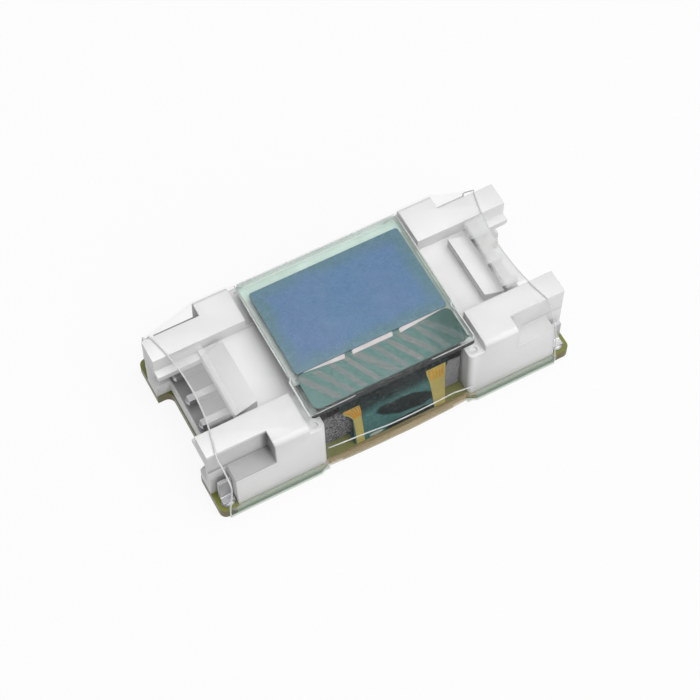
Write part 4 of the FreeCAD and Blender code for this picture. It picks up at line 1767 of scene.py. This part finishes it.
@dataclass
class Sleeve:
    """The clear tube that is shrunk over the whole module."""

    palette: Palette
    wall: float = 0.09
    gap: float = 0.09
    left_cut: float = 12.6
    right_cut: float = 11.85
    bow: float = 0.8
    retreat: float = 0.75
    bulge: float = 0.3
    waist_swell: float = 0.15
    sag: float = 0.15
    column: float = 0.15
    board_bottom: float = 0.12
    board_top: float = 0.92
    arm_top: float = 6.07
    rear_top: float = 5.32
    notch_level: float = 3.92
    base_half: float = 6.3
    top_half: float = 6.0
    arm_outer_half: float = 4.8
    arm_rear: float = 6.45
    socket_rear: float = 5.3
    notch_end: float = 8.95
    waist_half: float = 6.1
    board_half: float = 6.43
    waist_start: float = 5.2
    waist_finish: float = 5.9
    glass_half_depth: float = 5.5
    glass_half_width: float = 6.0
    glass_top: float = 6.52
    film_top: float = 6.67
    film_back: float = 4.42
    film_front: float = 2.43
    film_half_width: float = 5.55
    slack: float = 0.03
    arm_chord: float = 0.234
    slot_half: float = 2.7
    slot_end: float = 9.95
    left_slot_haze: float = 0.25
    # haze over the right slot, heavier to paint the light in that slot
    right_slot_haze_and_painted_light: float = 0.52
    waist_haze: float = 0.25
    ripple: float = 0.03
    divisions: tuple[int, ...] = (5, 14, 5, 8, 16, 34, 8, 8, 5, 14, 5, 44)

    def build(self) -> list[bpy.types.Object]:
        """Make the sleeve, its cut lips and its painted fold highlights and return them."""
        return [self.tube(), self.cut_lips(), self.fold_highlights()]

    def half_width(self, height: float) -> float:
        """Return half the socket's width at a height above the board."""
        return self.base_half + (self.top_half - self.base_half) * height / (self.arm_top - self.board_top)

    def board_side(self, x: float) -> float:
        """Return half the board's width at a place along X.

        Args:
            x: the place along X.

        Returns:
            The half width, in millimetres.
        """
        share = min(1.0, max(0.0, (abs(x) - self.waist_start) / (self.waist_finish - self.waist_start)))
        swell = self.waist_swell * max(0.0, 1.0 - (x / self.waist_start) ** 2)
        return self.waist_half + swell + (self.board_half - self.waist_half) * share

    def upper(self, x: float) -> tuple:
        """Return the middle, shoulder and crown of the section at a distance from the middle.

        Args:
            x: the distance from the middle, along X.

        Returns:
            Two corners, then the crown's back, its front and its height.
        """
        slack, chord, arm = self.slack, self.arm_chord, self.arm_top
        back, front = self.film_back + slack, self.film_front - slack
        if x > self.notch_end + 2 * slack:
            return (self.half_width(3.0), self.notch_level), (self.arm_outer_half, arm), (back, front, arm)
        if x > self.arm_rear - 2 * slack:
            return (self.top_half, arm - chord), (self.top_half - chord, arm), (back, front, arm)
        glass = (self.glass_half_depth, self.glass_top)
        peak = self.glass_top if x > self.film_half_width + 2 * slack else self.film_top
        if x > self.socket_rear - 2 * slack:
            return (self.half_width(4.4), self.rear_top), glass, (back, front, peak)
        return between((self.waist_half, self.board_top), glass, 0.5), glass, (back, front, peak)

    def key_section(self, x: float, sag: float = 0.0) -> Row:
        """Return the corners of the section at one station, front bottom first.

        Args:
            x: the place along X.
            sag: how far the film sinks in between the corners.

        Returns:
            The corners, as places along Y and Z.
        """
        middle, shoulder, (back, front, peak) = self.upper(abs(x))
        g = self.gap
        base = self.base_half if abs(x) > self.socket_rear - 2 * self.slack else 0.0
        side = max(self.board_side(x), base) + g
        middle = (middle[0] + g, middle[1] + g)
        shoulder = (shoulder[0] + g * 0.6, shoulder[1] + g)
        valley = ((middle[0] + shoulder[0]) / 2 - sag, (middle[1] + shoulder[1]) / 2 - sag / 2)
        half = [(side, self.board_bottom - 0.05), (side, self.board_top + g), middle, valley, shoulder]
        front_side = [(-y, z) for y, z in half]
        return front_side + [(-front, peak + g), (back, peak + g)] + half[::-1]

    def stations(self) -> list[tuple[float, Row]]:
        """Return the places along X where the section changes, with their sections."""
        slack = self.slack
        half = sorted([self.notch_end + slack, self.arm_rear - slack, self.glass_half_width + slack,
                       self.waist_finish, self.film_half_width + slack, self.socket_rear - slack,
                       self.waist_start - slack, 3.5, 1.5])
        found = [(-self.left_cut, self.key_section(-self.left_cut, self.sag))]
        found += [(-x, self.key_section(-x)) for x in reversed(half)]
        found += [(x, self.key_section(x)) for x in half]
        found.append((self.right_cut, self.key_section(self.right_cut)))
        return found

    def section(self, x: float) -> Row:
        """Return the section at any place along X, between its two stations.

        Args:
            x: the place along X.

        Returns:
            The corners, as places along Y and Z.
        """
        stations = self.stations()
        for (xa, a), (xb, b) in zip(stations, stations[1:]):
            if xa <= x <= xb:
                return [between(p, q, (x - xa) / (xb - xa)) for p, q in zip(a, b)]
        return stations[0][1] if x < 0 else stations[-1][1]

    def ring(self, x: float) -> Row:
        """Return the section at a place, divided finely all round.

        Args:
            x: the place along X.

        Returns:
            The points, as places along Y and Z.
        """
        corners = self.section(x)
        points = []
        for start, end, count in zip(corners, corners[1:] + corners[:1], self.divisions):
            points += [between(start, end, k / count) for k in range(count)]
        return points

    def end_shift(self, x: float, y: float, z: float) -> float:
        """Return how far a bowed end moves a point along X.

        Args:
            x: the place along X.
            y: the place along Y.
            z: the height.

        Returns:
            The shift, in millimetres.
        """
        if z < self.board_bottom:
            bow = self.retreat * step_down(abs(y), 3.3, 4.0)
        elif z < self.notch_level:
            return 0.0
        else:
            bow = self.bow * max(0.0, 1 - (y / (self.arm_outer_half + 0.3)) ** 2)
        reach = 3.0
        if x < 0:
            return bow * max(0.0, (reach - (x + self.left_cut)) / reach) ** 2
        return -bow * max(0.0, (reach - (self.right_cut - x)) / reach) ** 2

    def notch_bulge(self, x: float, y: float, z: float) -> float:
        """Return how far the film stands out over the open notch near the left cut.

        Args:
            x: the place along X.
            y: the place along Y.
            z: the height.

        Returns:
            The distance, in millimetres.
        """
        height = (z - self.board_top) / (self.arm_top - self.board_top)
        if y > -self.arm_outer_half or not 0.0 < height < 1.0:
            return 0.0
        near = step_down(x + self.left_cut, 0.0, 3.2)
        return self.bulge * near * math.sin(math.pi * height) * (0.3 + 0.8 * height)

    def grid(self) -> list[list[Vector]]:
        """Return the middle surface of the film as rings of points."""
        count = int((self.left_cut + self.right_cut) / self.column)
        places = {-self.left_cut + (self.left_cut + self.right_cut) * i / count for i in range(count + 1)}
        stations = {x for x, _ in self.stations()}
        places = {x for x in places if all(abs(x - s) > self.column * 0.4 for s in stations)} | stations
        rings = [[Vector((x, y, z)) for y, z in self.ring(x)] for x in sorted(places)]
        rings = self.smoothed(rings, 2)
        for ring in rings:
            for p in ring:
                ripple = self.ripple * (0.5 * noise.noise(p * 0.9) + 0.3 * noise.noise(p * 2.3))
                if p.z > 1.2:
                    p.z += ripple
                    p.y += ripple * (1 if p.y > 0 else -1) * (1 if abs(p.y) > 5 else 0)
                stand = self.notch_bulge(p.x, p.y, p.z)
                p.x += self.end_shift(p.x, p.y, p.z) + 1.3 * stand
                p.y -= stand
        return rings

    def smoothed(self, rings: list[list[Vector]], rounds: int) -> list[list[Vector]]:
        """Return the rings with their creases eased.

        Args:
            rings: the rings of points.
            rounds: how many times they are eased.

        Returns:
            The eased rings.
        """
        for _ in range(rounds):
            fresh = []
            for i, ring in enumerate(rings):
                count = len(ring)
                before, after = rings[max(0, i - 1)], rings[min(len(rings) - 1, i + 1)]
                row = []
                for j, p in enumerate(ring):
                    around = (ring[j - 1] + ring[(j + 1) % count] + before[j] + after[j]) / 4
                    eased = p.lerp(around, 0.5)
                    if p.z < self.board_top:
                        eased = p
                    eased.x = p.x
                    row.append(eased)
                fresh.append(row)
            rings = fresh
        return rings

    def tube(self) -> bpy.types.Object:
        """Return the film itself."""
        self.rings = self.grid()
        count = len(self.rings[0])
        points = [p for ring in self.rings for p in ring]
        faces = []
        for start in range(0, len(points) - count, count):
            faces += band(start, start + count, count)
        tube = mesh_object("sleeve_film", points, faces,
                           [self.palette.film, self.palette.edge_and_highlight_film, self.palette.low_film,
                            self.palette.waist_film], smooth=True)
        for polygon in tube.data.polygons:
            x, y, z = polygon.center / MM
            if z < self.board_top and abs(y) > self.waist_half:
                polygon.material_index = 2 if abs(x) > self.waist_start else 3
        with opened(tube.data) as bm:
            bmesh.ops.recalc_face_normals(bm, faces=bm.faces)
        self.mark_fold_highlights_and_haze(tube)
        solid = tube.modifiers.new("wall", "SOLIDIFY")
        solid.thickness = self.wall * MM
        solid.offset = 0.0
        solid.use_rim = True
        solid.material_offset_rim = 1
        baked(tube)
        return place_piece(tube, Slot.FILM, ["heat_shrink_sleeve"])

    def mark_fold_highlights_and_haze(self, tube: bpy.types.Object) -> None:
        """Mark how strongly the film is bent at each point, which turns it cloudy as a painted highlight, and
        add the cloud over the slots and the board's side.

        Args:
            tube: the film's middle surface.
        """
        mesh = tube.data
        bends = [0.0] * len(mesh.vertices)
        for edge in mesh.edges:
            a, b = (mesh.vertices[i] for i in edge.vertices)
            bend = 1.0 - a.normal.dot(b.normal)
            for i in edge.vertices:
                bends[i] = max(bends[i], bend)
        fold = mesh.attributes.new("fold", "FLOAT", "POINT")
        # a bend adds at most 0.02 of haze, as painted highlight
        values = [min(0.02, 0.15 * b) + self.cloud(v.co / MM) for b, v in zip(bends, mesh.vertices)]
        fold.data.foreach_set("value", values)

    def cloud(self, place: Vector) -> float:
        """Return how cloudy the film looks where it spans a slot or hugs the board's side; the heavier haze
        over the right slot also paints light into that slot.

        Args:
            place: the point, in millimetres.

        Returns:
            A share from 0 to 1.
        """
        across = step_down(abs(place.y), self.slot_half, self.slot_half + 0.4)
        over_slot = across * step_down(self.slot_end - abs(place.x), 0.0, 0.2)
        over_slot *= 1.0 if place.z > self.arm_top - 0.6 else 0.0
        # the right slot's heavier haze is partly painted light
        share = self.left_slot_haze if place.x < 0 else self.right_slot_haze_and_painted_light
        beside = step_down(place.z, 0.95, 1.2) * step_down(5.5 - abs(place.x), 0.0, 0.3)
        return share * over_slot + self.waist_haze * beside

    def cut_lips(self) -> bpy.types.Object:
        """Return the bright lips along the two cut ends: the film's cut edge, made pale as painted highlight.
        """
        lips = []
        for ring, radius in ((self.rings[0], 0.065), (self.rings[-1], 0.045)):
            path = [tuple(p) for p in ring if p.z > self.board_bottom]
            lips.append(swept_tube("lip", path, radius, self.palette.edge_and_highlight_film))
        return place_piece(joined("sleeve_cut_lips", lips), Slot.FILM)

    def on_front(self, x: float, z: float) -> Point:
        """Return the point of the film's front side at a place and height.

        Args:
            x: the place along X.
            z: the height.

        Returns:
            The point, in millimetres.
        """
        corners = self.section(x)[:6]
        for (ya, za), (yb, zb) in zip(corners, corners[1:]):
            if za <= z <= zb and zb > za:
                return (x, ya + (yb - ya) * (z - za) / (zb - za), z)
        return (x, corners[0][0], z)

    def fold_highlights(self) -> bpy.types.Object:
        """Return hazy tubes along the film's bends, which paint its highlights: round the glass and low along
        the front.
        """
        top = self.glass_top + self.gap + 0.01
        w, d = self.glass_half_width, self.glass_half_depth
        # painted highlight along the crease low on the film's front
        crease_highlight = [self.on_front(x, self.board_top + rise) for x, rise in (
            (-5.15, 1.38), (-4.0, 1.28), (-2.5, 1.16), (-0.7, 0.92), (1.0, 0.89), (2.75, 0.9), (4.2, 0.93),
            (5.6, 0.98))]
        upper_left = [(-w - 0.06, 5.4, top), (-w - 0.09, 3.0, top), (-w - 0.07, 0.5, top),
                      (-w - 0.05, -2.1, top)]
        left = [(-w - 0.05, -2.1, top), (-w + 0.02, -2.5, top + 0.02), (-w - 0.18, -2.76, top + 0.02),
                (-w - 0.16, -3.1, top), (-w - 0.15, -4.2, top), (-w - 0.17, -5.0, top),
                (-w - 0.14, -5.5, top - 0.02)]
        front = [(-w - 0.1, -d - 0.02, top), (-4.4, -d - 0.03, top), (-2.9, -d - 0.02, top)]
        front_right = [(2.7, -d - 0.02, top), (4.2, -d - 0.03, top), (w - 0.1, -d - 0.02, top)]
        right = [(w, 5.35, top), (w, 2.0, top), (w, -2.2, top), (w - 0.25, -2.6, top + 0.02),
                 (w - 0.1, -3.1, top), (w - 0.05, -5.2, top), (w - 0.3, -5.5, top)]
        back = [(-w + 0.1, d - 0.08, top), (0.0, d - 0.05, top), (w - 0.1, d - 0.08, top)]
        # each path is a hazy tube that stands as a painted highlight along a bend of the film
        paths = ((crease_highlight, 0.05), (upper_left, 0.045), (left, 0.075), (front, 0.025), (front_right, 0.03),
                 (right, 0.05), (back, 0.05))
        pieces = [swept_tube("fold", path, radius, self.palette.edge_and_highlight_film) for path, radius in paths]
        return place_piece(joined("sleeve_fold_highlights", pieces), Slot.FILM)


# ------------------------------------------------------------------ the studio


@dataclass
class Studio:
    """The floor, the lamps and the camera.

    A lamp is its name, its place and size in metres, and its power in watts.
    """

    azimuth: float = -28.15
    elevation: float = 60.14
    distance: float = 131.9
    target: Point = (-0.90, -1.05, 3.92)
    focal_pixels: float = 1999.0
    frame_pixels: float = 700.0
    sensor: float = 36.0
    floor_half: float = 1000.0
    floor_level: float = -0.002
    floor_share: float = 0.9
    world_strength: float = 0.345
    lamp_list: tuple[tuple[str, Point, float, float], ...] = (
        ("key_lamp", (0.10, -0.06, 0.55), 0.6, 3.3), ("front_lamp", (0.12, -0.50, 0.35), 0.7, 2.2))

    def build(self) -> None:
        """Set up the whole studio."""
        self.camera()
        self.floor()
        self.lamps()
        bpy.context.scene.view_settings.view_transform = "Standard"

    def camera(self) -> None:
        """Place the camera where the photographer's was."""
        a, e = math.radians(self.azimuth), math.radians(self.elevation)
        target = Vector(self.target) * MM
        away = Vector((math.sin(a) * math.cos(e), -math.cos(a) * math.cos(e), math.sin(e)))
        data = bpy.data.cameras.new("camera")
        data.sensor_width = self.sensor
        data.lens = self.focal_pixels / self.frame_pixels * self.sensor
        data.clip_start = 0.005
        data.clip_end = 10.0
        obj = linked("camera", data)
        obj.location = target + away * self.distance * MM
        obj.rotation_euler = (-away).to_track_quat("-Z", "Y").to_euler()
        bpy.context.scene.camera = obj

    def floor(self) -> None:
        """Lay a large white floor that keeps a faint shadow."""
        s = Shader("white_floor")
        plain = s.add("BsdfDiffuse", Color=(0.6, 0.6, 0.6)).outputs["BSDF"]
        white = s.add("Emission", Color=(1.0, 1.0, 1.0), Strength=1.0).outputs["Emission"]
        path = s.add("LightPath").outputs
        seen = s.math("MAXIMUM", path["Is Camera Ray"], s.math("MAXIMUM", path["Is Glossy Ray"],
                                                               path["Is Transmission Ray"]))
        look = s.finish(s.layered(s.product(seen, self.floor_share), plain, white))
        half, level = self.floor_half, self.floor_level
        corners = [(-half, -half, level), (half, -half, level), (half, half, level), (-half, half, level)]
        floor = mesh_object("studio_floor", corners, [(0, 1, 2, 3)], [look])

    def lamps(self) -> None:
        """Light the module softly from all round, with one broad lamp above."""
        world = bpy.data.worlds.new("studio")
        world.use_nodes = True
        sky = world.node_tree.nodes["Background"].inputs
        sky["Color"].default_value = (1.0, 1.0, 1.0, 1.0)
        sky["Strength"].default_value = self.world_strength
        bpy.context.scene.world = world
        for name, place, size, power in self.lamp_list:
            data = bpy.data.lights.new(name, "AREA")
            data.size = size
            data.energy = power
            lamp = linked(name, data)
            lamp.location = place
            lamp.rotation_euler = (-Vector(place)).to_track_quat("-Z", "Y").to_euler()


def main() -> None:
    """Build the studio and every sub-assembly in order."""
    logging.basicConfig(level=logging.INFO, format="%(message)s")
    shared = SharedEffects(drift_group(), grain_group())
    palette = make_palette(shared)
    Studio().build()
    SmallParts(palette).dress()
    for side in Side:
        Socket(palette, side).build()
    BoardDetail(palette).build()
    Panel(palette).build()
    FlatCable(palette).build()
    Foam(palette).build()
    Sleeve(palette).build()


if __name__ == "__main__":
    main()
